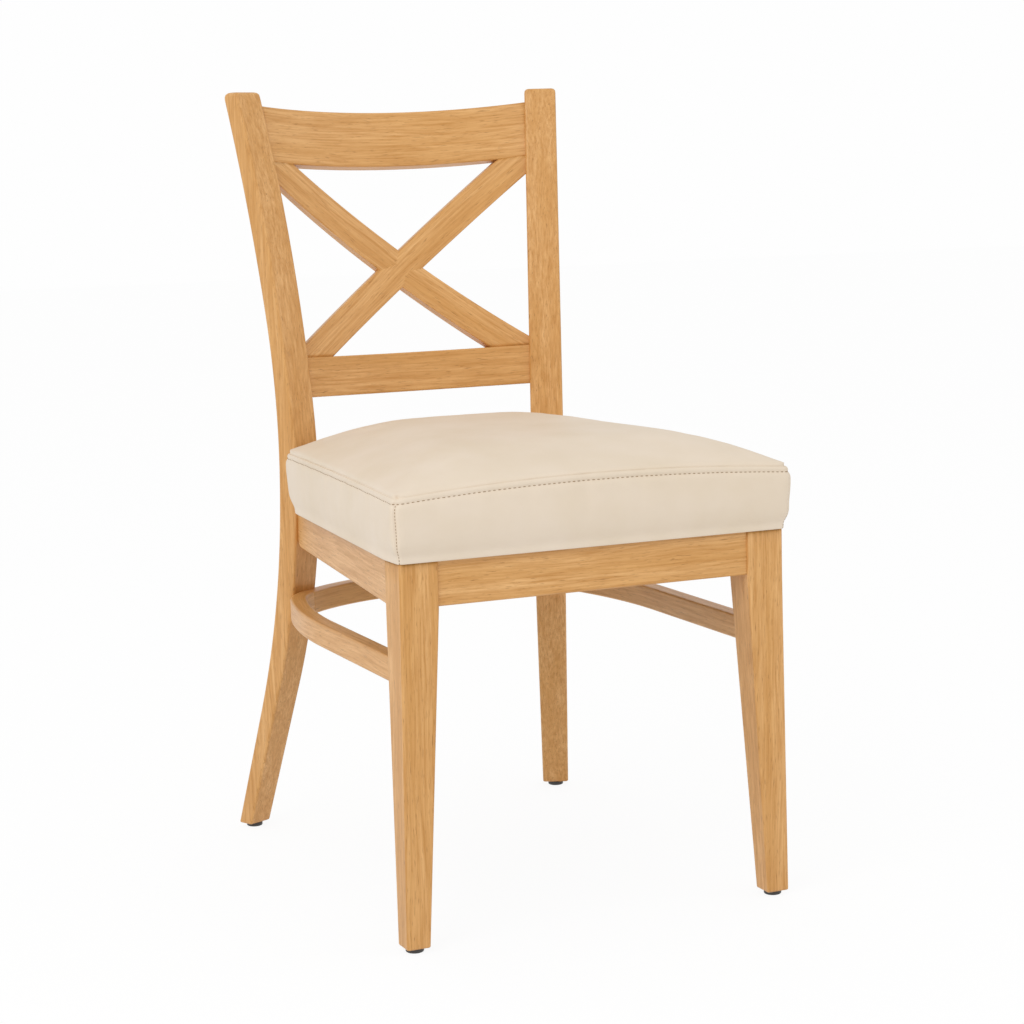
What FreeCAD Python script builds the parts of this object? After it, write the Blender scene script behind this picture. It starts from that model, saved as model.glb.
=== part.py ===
import FreeCAD, Part
import math
import os
import re
import Sketcher
from FreeCAD import Placement, Rotation, Vector

# A cross back dining chair in solid oak with a leather box cushion.
#
# Axes: +Z is up, the sitter looks towards -Y and +X is at the sitter's left hand.
# The origin lies on the floor in the middle of the chair's plan.
# "right" in a name means the +X side and "left" the -X side, as seen from the front.
# Lengths are in millimetres and angles in degrees.

doc = FreeCAD.newDocument("CrossBackChair")

# Driving dimensions. Depths marked "from the front" are measured from the front legs.
SIZES = {
    # where the chair stands on its axes
    "front_y": -286.7,
    # pads under the feet
    "glide_height": 5.0,
    "glide_diameter": 19.0,
    "glide_pin_diameter": 3.0,
    "glide_pin_length": 14.0,
    # front legs: square at the top, tapered on the two inner faces below the aprons
    "leg_outer_x": 218.0,
    "leg_side": 42.0,
    "leg_foot_side": 26.0,
    "leg_splay": 4.0,
    "leg_easing": 2.0,
    "foot_bevel": 2.0,
    # seat frame
    "apron_top": 406.0,
    "apron_bottom": 355.0,
    "apron_thickness": 20.0,
    "apron_easing": 1.5,
    "front_apron_setback": 3.0,
    "side_apron_inset": 1.0,
    "side_apron_rear_inset": 3.5,
    "side_apron_corner_radius": 15.0,
    "apron_seating": 5.0,
    "rear_apron_depth": 465.5,
    "tenon_thickness": 9.0,
    "tenon_length": 20.0,
    "tenon_root": 4.0,
    "side_tenon_root": 12.0,
    "side_tenon_rear_reach": 16.0,
    "rear_tenon_shift": 2.0,
    "apron_tenon_low_share": 0.2,
    "apron_tenon_share": 0.65,
    # back posts: the turned plane in which they are sawn, and the line of their front
    "post_x": 140.0,
    "post_depth": 423.0,
    "post_turn": 25.0,
    "post_top": 880.0,
    "post_front_foot": 137.2,
    "post_front_foot_lean": 18.97,
    "post_front_straight": 182.7,
    "post_front_seat_radius": 783.9,
    "post_front_back_lean": 5.73,
    "post_front_back_radius": 1984.4,
    "post_rear_foot": 158.4,
    "post_rear_foot_lean": 18.25,
    "post_rear_straight": 150.4,
    "post_rear_seat_radius": 985.1,
    "post_rear_back_lean": 9.36,
    "post_rear_back_radius": 2392.2,
    "post_foot_width": 32.0,
    "post_seat_width": 39.5,
    "post_top_width": 38.0,
    "post_bevel": 2.0,
    "post_crown_radius": 9.0,
    "post_corner_radius": 4.5,
    # back rails, bowed in plan
    "rail_thickness": 20.0,
    "rail_setback": 5.0,
    "rail_bevel": 1.8,
    "rail_tenon_share": 0.66,
    "rail_tenon_back_share": 0.45,
    "top_rail_base": 799.2,
    "top_rail_height": 66.3,
    "lower_rail_base": 526.2,
    "lower_rail_height": 46.7,
    # cross slats, cut from the same bow and halved over each other
    "slat_width": 35.0,
    "slat_thickness": 16.0,
    "slat_setback": 2.5,
    "slat_bow_radius": 364.0,
    "slat_angle": 38.2,
    "slat_crossing_height": 101.3,
    "slat_bevel": 1.5,
    "dowel_diameter": 6.0,
    "dowel_length": 24.0,
    "top_dowel_across": 143.0,
    "lower_dowel_across": 124.0,
    # hoop stretcher
    "hoop_base": 274.0,
    "hoop_height": 26.0,
    "hoop_thickness": 19.0,
    "hoop_inner_x": 195.5,
    "hoop_side_turn": 16.0,
    "hoop_corner_radius": 74.0,
    "hoop_corner_turn": 48.0,
    "hoop_rear_radius": 228.0,
    "hoop_rear_centre": 278.0,
    "hoop_bevel": 2.0,
    "hoop_tenon_length": 30.0,
    "hoop_tenon_reach": 5.0,
    "hoop_tenon_share": 0.6,
    "hoop_dowel_length": 30.0,
    "hoop_dowel_start": 6.0,
    "hoop_side_dowel_turn": 42.0,
    "hoop_side_dowel_aim": 56.0,
    "hoop_rear_dowel_turn": 52.0,
    # corner blocks and screws
    "block_height": 30.0,
    "block_reach": 62.0,
    "block_foot": 37.0,
    "screw_diameter": 4.0,
    "screw_head_diameter": 8.0,
    "screw_head_height": 2.4,
    "seat_screw_length": 38.0,
    "block_screw_length": 38.0,
    "block_screw_share": 0.22,
    "hole_play": 0.2,
    # cushion: its widest outline, and the levels of its seam and crown above the aprons
    "seat_overhang": 10.5,
    "seat_rear_half_width": 189.0,
    "seat_rear_corner": 441.0,
    "seat_rear_crest": 477.0,
    "seat_rear_radius": 446.0,
    "seat_front_corner_radius": 13.0,
    "seat_rear_corner_radius": 30.0,
    "fullest_height": 34.0,
    "seam_height": 63.0,
    "crown_height": 96.0,
    "crown_reach": 120.0,
    "bottom_tuck": 9.5,
    "seam_draw": 4.0,
    "cover_thickness": 1.6,
    "cover_turn_in": 18.0,
    "board_thickness": 12.0,
    "board_inset": 9.5,
    "foam_play": 0.3,
    "dust_cloth_thickness": 0.6,
    "staple_wire": 0.9,
    "staple_crown": 10.0,
    "staple_leg": 8.0,
    "staple_gap": 72.0,
    "staple_line_inset": 23.5,
    "staple_front_share": 0.7,
    "staple_rear_share": 0.7,
    "staple_side_share": 2.4,
}

sheet = doc.addObject("Spreadsheet::Sheet", "Sheet")
for row, (alias, number) in enumerate(SIZES.items(), start=1):
    sheet.set("A%d" % row, alias.replace("_", " "))
    sheet.set("B%d" % row, str(number))
    sheet.setAlias("B%d" % row, alias)
doc.recompute()


# Formulas and frames
def bound(formula):
    """The formula with each dimension's name led by the name of the sheet."""
    def led(match):
        word = match.group()
        return "Sheet." + word if word in SIZES else word

    return re.sub(r"[a-z_]+", led, formula)


def size(formula):
    """The number that a formula of the sheet's dimensions gives."""
    answer = sheet.evalExpression(formula)
    return float(getattr(answer, "Value", answer))


def turned(base, *turns):
    """A placement at base, made of (axis letter, degrees) turns, the last one nearest the piece."""
    axes = {"x": Vector(1, 0, 0), "y": Vector(0, 1, 0), "z": Vector(0, 0, 1)}
    rotation = Rotation()
    for axis, angle in turns:
        rotation = rotation.multiply(Rotation(axes[axis], angle))
    return Placement(base, rotation)


def sine(angle):
    return math.sin(math.radians(angle))


def cosine(angle):
    return math.cos(math.radians(angle))


# Building helpers
def new_body(name):
    return doc.addObject("PartDesign::Body", name)


def sketch_on(body, role, name, lift=None):
    """A sketch on one of the body's own origin planes, lifted off it along its normal."""
    sketch = body.newObject("Sketcher::SketchObject", name)
    plane = next(item for item in body.Origin.OriginFeatures if item.Role == role)
    sketch.AttachmentSupport = [(plane, "")]
    sketch.MapMode = "FlatFace"
    if lift is not None:
        sketch.setExpression("AttachmentOffset.Base.z", bound(lift))
    return sketch


def number_of(entry):
    return size(entry) if isinstance(entry, str) else float(entry)


def draw(sketch, corners):
    """A closed outline of lines and arcs.

    Each corner is (x, y) or (x, y, radius): the radius bends the run to the next corner,
    to the left where it is positive and to the right where it is negative. An entry in
    text is a formula of the sheet, and it drives the sketch.
    """
    points = [Vector(number_of(corner[0]), number_of(corner[1]), 0) for corner in corners]
    ends = []
    for index, corner in enumerate(corners):
        start = points[index]
        finish = points[(index + 1) % len(points)]
        if len(corner) == 2:
            edge = sketch.addGeometry(Part.LineSegment(start, finish), False)
            ends.append((edge, 1, 2))
            continue
        radius = number_of(corner[2])
        chord = finish - start
        middle = (start + finish) * 0.5
        side = Vector(-chord.y, chord.x, 0).normalize()
        reach = math.sqrt(radius * radius - chord.Length * chord.Length / 4)
        centre = middle + side * (reach if radius > 0 else -reach)
        begin, stop = (start, finish) if radius > 0 else (finish, start)
        angles = [math.atan2(point.y - centre.y, point.x - centre.x) for point in (begin, stop)]
        circle = Part.Circle(centre, Vector(0, 0, 1), abs(radius))
        edge = sketch.addGeometry(Part.ArcOfCircle(circle, angles[0], angles[1]), False)
        ends.append((edge, 1, 2) if radius > 0 else (edge, 2, 1))
        mark = sketch.addConstraint(Sketcher.Constraint("Radius", edge, abs(radius)))
        if isinstance(corner[2], str):
            sketch.setExpression("Constraints[%d]" % mark, bound("abs(%s)" % corner[2]))
    for index, corner in enumerate(corners):
        edge, first, last = ends[index - 1]
        follower = ends[index]
        sketch.addConstraint(Sketcher.Constraint("Coincident", edge, last, follower[0], follower[1]))
        for kind, entry, axis in (("DistanceX", corner[0], -2), ("DistanceY", corner[1], -1)):
            number = number_of(entry)
            if abs(number) < 1e-9:
                sketch.addConstraint(Sketcher.Constraint("PointOnObject", follower[0], follower[1], axis))
                continue
            rule = Sketcher.Constraint(kind, -1, 1, follower[0], follower[1], number)
            mark = sketch.addConstraint(rule)
            if isinstance(entry, str):
                sketch.setExpression("Constraints[%d]" % mark, bound(entry))
    return sketch


def pad(body, sketch, length, name, both_ways=False, backwards=False):
    feature = body.newObject("PartDesign::Pad", name)
    feature.Profile = sketch
    feature.setExpression("Length", bound(length))
    feature.SideType = "Symmetric" if both_ways else "One side"
    feature.Reversed = backwards
    doc.recompute()
    return feature


def pocket_through(body, sketch, name):
    """A cut through the whole body, both ways from the sketch."""
    before = body.Shape.Volume
    feature = body.newObject("PartDesign::Pocket", name)
    feature.Profile = sketch
    feature.Type = "ThroughAll"
    feature.SideType = "Symmetric"
    doc.recompute()
    if body.Shape.Volume > before - 1:
        raise RuntimeError(name + " cuts nothing")
    return feature


def edges_where(shape, test):
    return ["Edge%d" % (index + 1) for index, edge in enumerate(shape.Edges) if test(edge)]


def round_edges(body, feature, test, radius, name, kind="PartDesign::Fillet"):
    """Rounds or bevels the edges of the last feature that pass the test."""
    chosen = edges_where(feature.Shape, test)
    if not chosen:
        raise RuntimeError(name + " finds no edge")
    item = body.newObject(kind, name)
    item.Base = (feature, chosen)
    item.setExpression("Radius" if kind.endswith("Fillet") else "Size", bound(radius))
    doc.recompute()
    return item


def box(name, length, width, height, placement):
    """A Part box centred on its own X and Y, its base on the placement."""
    item = doc.addObject("Part::Box", name)
    item.setExpression("Length", bound(length))
    item.setExpression("Width", bound(width))
    item.setExpression("Height", bound(height))
    shift = Vector(-size(length) / 2, -size(width) / 2, 0)
    item.Placement = placement.multiply(Placement(shift, Rotation()))
    return item


def rod(name, diameter, length, placement):
    """A small round piece or its hole, drawn with eight sides because it repeats and is hidden."""
    item = doc.addObject("Part::Prism", name)
    item.Polygon = 8
    item.setExpression("Circumradius", bound("(%s) / 2" % diameter))
    item.setExpression("Height", bound(length))
    item.Placement = placement
    return item


def join(name, pieces):
    item = doc.addObject("Part::MultiFuse", name)
    item.Shapes = pieces
    doc.recompute()
    return item


def cut(name, base, tools):
    """Base less every tool."""
    item = doc.addObject("Part::Cut", name)
    item.Base = base
    item.Tool = tools[0] if len(tools) == 1 else join(name + "_tools", tools)
    doc.recompute()
    return item


def mirrored(name, source):
    item = doc.addObject("Part::Mirroring", name)
    item.Source = source
    item.Base = Vector(0, 0, 0)
    item.Normal = Vector(1, 0, 0)
    doc.recompute()
    return item


def group(name, pieces):
    """One node of several separate solids."""
    item = doc.addObject("Part::Compound", name)
    item.Links = pieces
    doc.recompute()
    return item


NODES = []


def node(item, label):
    """Marks an object as a finished piece of the chair and names it."""
    item.Label = label
    NODES.append(item)
    return item


def depth(formula):
    """A depth from the front legs' front face, as a formula on the chair's own Y."""
    return "front_y + %s" % formula


# The line of a back post
class PostLine:
    """The front or the rear line of a back post, in the turned plane that the post is sawn in.

    The foot runs straight, forward as it climbs. One arc then turns the line upright at
    the seat and on into a slight backward lean, and a wider arc leans it more to the top.
    """

    def __init__(self, kind):
        prefix = "post_%s_" % kind
        self.foot_lean = -math.radians(size(prefix + "foot_lean"))
        self.back_lean = math.radians(size(prefix + "back_lean"))
        self.seat_radius = size(prefix + "seat_radius")
        self.back_radius = size(prefix + "back_radius")
        base = size("glide_height")
        bend_height = size(prefix + "straight")
        self.start = (size(prefix + "foot"), base)
        self.bend = (self.start[0] + math.tan(self.foot_lean) * (bend_height - base), bend_height)
        climb = math.sin(self.back_lean) - math.sin(self.foot_lean)
        drift = math.cos(self.foot_lean) - math.cos(self.back_lean)
        self.upper = (self.bend[0] + self.seat_radius * drift, bend_height + self.seat_radius * climb)

    def at(self, height):
        """How far back the line lies at a height, and its backward lean in degrees."""
        if height <= self.bend[1]:
            rise = height - self.start[1]
            return self.start[0] + math.tan(self.foot_lean) * rise, math.degrees(self.foot_lean)
        if height <= self.upper[1]:
            low, lean, radius = self.bend, self.foot_lean, self.seat_radius
        else:
            low, lean, radius = self.upper, self.back_lean, self.back_radius
        angle = math.asin(math.sin(lean) + (height - low[1]) / radius)
        return low[0] + radius * (math.cos(lean) - math.cos(angle)), math.degrees(angle)


POST_FRONT = PostLine("front")
POST_REAR = PostLine("rear")


def post_half_width(height):
    """Half the width of a post, which narrows to the foot and a little to the top."""
    middle = size("apron_top")
    if height <= middle:
        share = (height - size("glide_height")) / (middle - size("glide_height"))
        return (size("post_foot_width") * (1 - share) + size("post_seat_width") * share) / 2
    share = (height - middle) / (size("post_top") - middle)
    return (size("post_seat_width") * (1 - share) + size("post_top_width") * share) / 2


def post_frame():
    """Where the right post's own axes lie: X outwards across it and Y backwards."""
    base = Vector(size("post_x"), size(depth("post_depth")), 0)
    return turned(base, ("z", -size("post_turn")))


def post_point(across, back, height):
    return post_frame().multVec(Vector(across, back, height))


def eased_corners(left, front, right, rear, easing):
    """A rectangle with its corners cut off, drawn from its front left counterclockwise."""
    return [
        (left + easing, front),
        (right - easing, front),
        (right, front + easing),
        (right, rear - easing),
        (right - easing, rear),
        (left + easing, rear),
        (left, rear - easing),
        (left, front + easing),
    ]


# Front legs
def front_leg_blank():
    """A leg lofted through level squares with eased corners: its sole, the top of the sole's
    bevel, the height of the aprons' underside and its top.
    """
    body = new_body("leg_body")
    outer = size("leg_outer_x")
    side = size("leg_side")
    foot = size("leg_foot_side")
    splayed = outer + size("leg_splay")
    front = size("front_y")
    bevel = size("foot_bevel")
    easing = size("leg_easing")
    levels = [
        ("glide_height", splayed - foot + bevel, front + bevel, splayed - bevel, front + foot - bevel),
        ("glide_height + foot_bevel", splayed - foot, front, splayed, front + foot),
        ("apron_bottom", outer - side, front, outer, front + side),
        ("apron_top", outer - side, front, outer, front + side),
    ]
    sections = []
    for number, (lift, inner, near, outside, far) in enumerate(levels):
        sketch = sketch_on(body, "XY_Plane", "leg_section_%d" % number, lift)
        draw(sketch, eased_corners(inner, near, outside, far, easing))
        sections.append(sketch)
    doc.recompute()
    loft = body.newObject("PartDesign::AdditiveLoft", "leg_taper")
    loft.Profile = sections[0]
    loft.Sections = sections[1:]
    loft.Ruled = True
    doc.recompute()
    return body


leg_blank = front_leg_blank()


# Back posts
def back_post_blank():
    """A sabre shaped post: sawn to its side view, tapered in its front view, then bevelled."""
    body = new_body("post_body")
    body.Placement = post_frame()
    high = size("post_top")
    crown = size("post_crown_radius")
    front_top = POST_FRONT.at(high)[0]
    rear_top = POST_REAR.at(high - crown)[0]
    side_view = sketch_on(body, "YZ_Plane", "post_side_view")
    draw(side_view, [
        POST_FRONT.start,
        POST_FRONT.bend + (-POST_FRONT.seat_radius,),
        POST_FRONT.upper + (-POST_FRONT.back_radius,),
        (front_top, "post_top"),
        (rear_top - crown, "post_top", "-post_crown_radius"),
        (rear_top, "post_top - post_crown_radius", POST_REAR.back_radius),
        POST_REAR.upper + (POST_REAR.seat_radius,),
        POST_REAR.bend,
        POST_REAR.start,
    ])
    pad(body, side_view, "post_seat_width", "post_side_sawn", both_ways=True)
    front_view = sketch_on(body, "XZ_Plane", "post_front_view")
    corner = size("post_corner_radius")
    for side in (1, -1):
        draw(front_view, [
            (side * post_half_width(size("glide_height")), 0),
            (side * post_half_width(size("glide_height")), "glide_height"),
            (side * post_half_width(size("apron_top")), "apron_top"),
            (side * post_half_width(high - corner), high - corner, side * corner),
            (side * (post_half_width(high) - corner), high),
            (side * (post_half_width(high) - corner), high + 10),
            (side * 30, high + 10),
            (side * 30, 0),
        ])
    tapered = pocket_through(body, front_view, "post_front_sawn")

    def easing(edge):
        heights = [vertex.Z for vertex in edge.Vertexes]
        return edge.Length > 60 or all(abs(height - size("glide_height")) < 0.01 for height in heights)

    round_edges(body, tapered, easing, "post_bevel", "post_bevels", "PartDesign::Chamfer")
    return body


post_blank = back_post_blank()


def beyond_post(name):
    """A block that fills the right post's own space and beyond, outwards from its inner face."""
    width, deep, tall = 120.0, 400.0, 620.0
    middle_back = 60.0
    below_aprons = 70.0
    low = post_half_width(size("apron_top"))
    high = post_half_width(size("post_top"))
    tilt = math.degrees(math.atan((low - high) / (size("post_top") - size("apron_top"))))
    corner = Vector(-low, middle_back, size("apron_top"))
    place = post_frame().multiply(turned(corner, ("y", tilt)))
    place = place.multiply(Placement(Vector(width / 2, 0, -below_aprons), Rotation()))
    return box(name, str(width), str(deep), str(tall), place)


# Rails of the back
def rail_frame(base_formula, height_formula):
    """Where a rail lies: its place, its backward tilt and the radius of its bow.

    The rail meets each post square to the post's inner face, so half its span and the
    turn of the posts give the radius of the bow.
    """
    base = size(base_formula)
    front = POST_FRONT.at(base)[0]
    middle_lean = POST_FRONT.at(base + size(height_formula) / 2)[1]
    corner = post_point(-post_half_width(base), front + size("rail_setback"), base)
    turn = size("post_turn")
    tilt = math.degrees(math.atan(cosine(turn) * math.tan(math.radians(middle_lean))))
    radius = corner.x / sine(turn)
    return {"y": corner.y, "z": base, "tilt": tilt, "radius": radius, "bow": radius * (1 - cosine(turn))}


# half the arc that a bowed board is first cut to, before its ends are trimmed
HALF_BOW = 30.0
TOP_RAIL = rail_frame("top_rail_base", "top_rail_height")
LOWER_RAIL = rail_frame("lower_rail_base", "lower_rail_height")


def bowed_outline(radius, thickness, crest, half_angle):
    """The plan of a bowed board: its front crest lies at Y = crest on X = 0."""
    centre = crest - radius
    outer = radius + thickness
    x_front = radius * sine(half_angle)
    y_front = centre + radius * cosine(half_angle)
    x_back = outer * sine(half_angle)
    y_back = centre + outer * cosine(half_angle)
    return [
        (x_front, y_front, radius),
        (-x_front, y_front),
        (-x_back, y_back, -outer),
        (x_back, y_back),
    ]


def bowed_board(name, frame, height, half_angle):
    body = new_body(name + "_body")
    body.Placement = turned(Vector(0, frame["y"], frame["z"]), ("x", -frame["tilt"]))
    sketch = sketch_on(body, "XY_Plane", name + "_plan")
    draw(sketch, bowed_outline(frame["radius"], size("rail_thickness"), frame["bow"], half_angle))
    feature = pad(body, sketch, height, name + "_board")
    long_arc = lambda edge: edge.Length > 100
    round_edges(body, feature, long_arc, "rail_bevel", name + "_bevels", "PartDesign::Chamfer")
    return body


def tenon_into_post(name, base, height):
    """A tongue from a rail's end into the right post, tilted with the post.

    base and height are formulas for the rail's lower edge and its height.
    """
    centre = size("%s + %s / 2" % (base, height))
    front, lean = POST_FRONT.at(centre)
    half = post_half_width(centre)
    middle = front + size("rail_setback + rail_thickness * rail_tenon_back_share")
    tall = "%s * rail_tenon_share" % height
    entry = Vector(-half + size("tenon_length / 2 - tenon_root"), middle, centre)
    frame = post_frame().multiply(turned(entry, ("x", -lean)))
    frame = frame.multiply(Placement(Vector(0, 0, -size(tall) / 2), Rotation()))
    return box(name, "tenon_length + 2 * tenon_root", "tenon_thickness", tall, frame)


right_of_back = beyond_post("right_of_back")
left_of_back = mirrored("left_of_back", right_of_back)

top_board = bowed_board("top_rail", TOP_RAIL, "top_rail_height", HALF_BOW)
top_tenon_right = tenon_into_post("top_tenon_right", "top_rail_base", "top_rail_height")
top_tenon_left = mirrored("top_tenon_left", top_tenon_right)
top_trimmed = cut("top_rail_trimmed", top_board, [right_of_back, left_of_back])
top_rail = join("top_rail_tenoned", [top_trimmed, top_tenon_right, top_tenon_left])

lower_board = bowed_board("lower_rail", LOWER_RAIL, "lower_rail_height", HALF_BOW)
lower_tenon_right = tenon_into_post("lower_tenon_right", "lower_rail_base", "lower_rail_height")
lower_tenon_left = mirrored("lower_tenon_left", lower_tenon_right)
lower_trimmed = cut("lower_rail_trimmed", lower_board, [right_of_back, left_of_back])
lower_rail = join("lower_rail_tenoned", [lower_trimmed, lower_tenon_right, lower_tenon_left])


# Cross slats
def slat_frame():
    """The tilted frame of the cross and its height, from the lower rail's top edge to the top
    rail's bottom edge.
    """
    low = LOWER_RAIL
    tall = size("lower_rail_height")
    low_y = low["y"] + low["bow"] * cosine(low["tilt"]) + tall * sine(low["tilt"])
    low_z = low["z"] - low["bow"] * sine(low["tilt"]) + tall * cosine(low["tilt"])
    high_y = TOP_RAIL["y"] + TOP_RAIL["bow"] * cosine(TOP_RAIL["tilt"])
    high_z = TOP_RAIL["z"] - TOP_RAIL["bow"] * sine(TOP_RAIL["tilt"])
    tilt = math.degrees(math.atan2(high_y - low_y, high_z - low_z))
    setback = size("slat_setback")
    base = Vector(0, low_y + setback * cosine(tilt), low_z - setback * sine(tilt))
    return turned(base, ("x", -tilt)), math.hypot(high_y - low_y, high_z - low_z)


SLAT_FRAME, SLAT_SPAN = slat_frame()


# how far a sheet runs on past the rails before its ends are trimmed
SPARE = 40.0


def curved_sheet(name, inner, outer):
    """A tall bowed sheet between two depths behind the front of the slats."""
    body = new_body(name)
    body.Placement = SLAT_FRAME
    sketch = sketch_on(body, "XY_Plane", name + "_plan", str(-SPARE))
    radius = size("slat_bow_radius")
    draw(sketch, bowed_outline(radius + inner, outer - inner, inner, HALF_BOW))
    return body, pad(body, sketch, str(round(SLAT_SPAN + 2 * SPARE)), name + "_sheet")


def slat_band(name, sign, inner, outer):
    """A sheet sawn to one slanted band. The sign says which way the band climbs."""
    body, sheet_pad = curved_sheet(name, inner, outer)
    slope = sign * math.tan(math.radians(size("slat_angle")))
    half = size("slat_width") / 2 / cosine(size("slat_angle"))
    middle = size("slat_crossing_height")
    reach = 230.0
    waste = 420.0
    for number, side in enumerate((1, -1)):
        sketch = sketch_on(body, "XZ_Plane", "%s_waste_%d" % (name, number))
        line = lambda x: middle + slope * x + side * half
        far = middle + side * waste
        corners = [(-reach, line(-reach)), (reach, line(reach)), (reach, far), (-reach, far)]
        if side < 0:
            corners.reverse()
        draw(sketch, corners)
        last = pocket_through(body, sketch, "%s_saw_%d" % (name, number))
    return body, last


def eased_band(name, sign):
    body, last = slat_band(name, sign, 0.0, size("slat_thickness"))
    long_edge = lambda edge: edge.Length > 100
    round_edges(body, last, long_edge, "slat_bevel", name + "_bevels", "PartDesign::Chamfer")
    return body


def rail_side_block(name, frame, low, high):
    """A block that fills a rail's own space, and well past it, between two of its levels."""
    width, deep = 420.0, 160.0
    place = turned(Vector(0, frame["y"], frame["z"]), ("x", -frame["tilt"]))
    place = place.multiply(Placement(Vector(0, size("rail_thickness / 2"), low), Rotation()))
    return box(name, str(width), str(deep), str(high - low), place)


half_slat = size("slat_thickness") / 2
rising = eased_band("rising_slat", 1)
falling = eased_band("falling_slat", -1)
rising_front_half = slat_band("rising_front_half", 1, -1.0, half_slat)[0]
falling_rear_half = slat_band("falling_rear_half", -1, half_slat, 2 * half_slat + 1)[0]
above_cross = rail_side_block("above_cross", TOP_RAIL, 0.0, size("top_rail_height"))
below_cross = rail_side_block("below_cross", LOWER_RAIL, -SPARE, size("lower_rail_height"))
ends = [above_cross, below_cross, right_of_back, left_of_back]
rising_piece = cut("rising_piece", rising, ends + [falling_rear_half])
falling_piece = cut("falling_piece", falling, ends + [rising_front_half])


def slat_dowel(name, side, top):
    """A dowel in the middle of a slat's end, square to the edge of the rail that it enters."""
    frame = TOP_RAIL if top else LOWER_RAIL
    level = 0.0 if top else size("lower_rail_height")
    across = size("top_dowel_across" if top else "lower_dowel_across")
    radius = size("slat_bow_radius")
    drop = radius - math.sqrt(radius * radius - across * across)
    middle = frame["bow"] - drop + size("slat_setback") + half_slat
    place = turned(Vector(0, frame["y"], frame["z"]), ("x", -frame["tilt"]))
    foot = Vector(side * across, middle, level - size("dowel_length") / 2)
    place = place.multiply(Placement(foot, Rotation()))
    return rod(name, "dowel_diameter", "dowel_length", place)


dowels = [
    slat_dowel("dowel_0", 1, True),
    slat_dowel("dowel_1", -1, True),
    slat_dowel("dowel_2", 1, False),
    slat_dowel("dowel_3", -1, False),
]
dowel_holes = join("dowel_holes", dowels)
node(cut("top_rail_bored", top_rail, [dowel_holes]), "top_rail")
node(cut("lower_rail_bored", lower_rail, [dowel_holes]), "lower_back_rail")
node(cut("rising_slat_piece", rising_piece, [dowel_holes]), "cross_slat_rising")
node(cut("falling_slat_piece", falling_piece, [dowel_holes]), "cross_slat_falling")
node(group("slat_dowels", dowels), "cross_slat_dowels")


# Seat frame
def meet(point, along, other, across):
    """Where two lines of the plan cross, each given by a point and a direction."""
    span = along.x * across.y - along.y * across.x
    gap = other - point
    return point + along * ((gap.x * across.y - gap.y * across.x) / span)


def side_apron_lines():
    """The plan of the right side apron: the two ends of its outer face, the direction of that
    face and the direction inwards from it.
    """
    start = Vector(size("leg_outer_x - side_apron_inset"), size(depth("leg_side")), 0)
    height = (size("apron_top") + size("apron_bottom")) / 2
    across = post_half_width(height) - size("side_apron_rear_inset")
    finish = post_point(across, POST_FRONT.at(height)[0], 0)
    along = (finish - start).normalize()
    return start, finish, along, Vector(-along.y, along.x, 0)


APRON_START, APRON_FINISH, APRON_ALONG, APRON_INWARD = side_apron_lines()
ACROSS = Vector(1, 0, 0)
POST_FACE = Vector(-cosine(size("post_turn")), sine(size("post_turn")), 0)


def eased_below(body, board, name):
    """Eases an apron's two long lower edges."""
    low = size("apron_bottom")

    def lower_long(edge):
        return edge.Length > 200 and all(abs(vertex.Z - low) < 0.01 for vertex in edge.Vertexes)

    return round_edges(body, board, lower_long, "apron_easing", name, "PartDesign::Chamfer")


def side_apron_blank():
    """A board that closes the seat frame in to the rear, its lower rear corner well rounded."""
    body = new_body("side_apron_body")
    inner = APRON_START + APRON_INWARD * size("apron_thickness")
    seated = APRON_FINISH + APRON_ALONG * size("apron_seating")
    inner_rear = meet(inner, APRON_ALONG, seated, POST_FACE)
    inner_front = meet(inner, APRON_ALONG, APRON_START, ACROSS)
    sketch = sketch_on(body, "XY_Plane", "side_apron_plan", "apron_bottom")
    draw(sketch, [(corner.x, corner.y) for corner in (APRON_START, seated, inner_rear, inner_front)])
    board = pad(body, sketch, "apron_top - apron_bottom", "side_apron_board")
    low = size("apron_bottom")
    rear = min(seated.y, inner_rear.y) - 1

    def lower_rear(edge):
        return all(abs(vertex.Z - low) < 0.01 and vertex.Y > rear for vertex in edge.Vertexes)

    corner = round_edges(body, board, lower_rear, "side_apron_corner_radius", "side_apron_corner")
    eased_below(body, corner, "side_apron_easing")
    return body


def straight_apron(name, half_length, back_off):
    """A board across the chair; both arguments are formulas, the second of its front face's depth."""
    body = new_body(name + "_body")
    body.Placement = turned(Vector(0, size(depth(back_off)), 0))
    sketch = sketch_on(body, "XZ_Plane", name + "_view")
    draw(sketch, [
        ("-(%s)" % half_length, "apron_bottom"),
        (half_length, "apron_bottom"),
        (half_length, "apron_top"),
        ("-(%s)" % half_length, "apron_top"),
    ])
    board = pad(body, sketch, "apron_thickness", name + "_board", backwards=True)
    eased_below(body, board, name + "_easing")
    return body


TONGUE_BASE = "apron_bottom + (apron_top - apron_bottom) * apron_tenon_low_share"
TONGUE_HEIGHT = "(apron_top - apron_bottom) * apron_tenon_share"


def tongue(name, middle, angle, length):
    """An apron's tenon, centred on a point of the plan and turned in it."""
    place = turned(Vector(middle.x, middle.y, size(TONGUE_BASE)), ("z", angle))
    return box(name, length, "tenon_thickness", TONGUE_HEIGHT, place)


def along_apron(name, first, last):
    """A tongue in the side apron's middle, from one distance along its outer face to another."""
    angle = math.degrees(math.atan2(APRON_ALONG.y, APRON_ALONG.x))
    middle = APRON_START + APRON_INWARD * size("apron_thickness / 2") + APRON_ALONG * ((first + last) / 2)
    return tongue(name, middle, angle, str(last - first))


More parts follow.
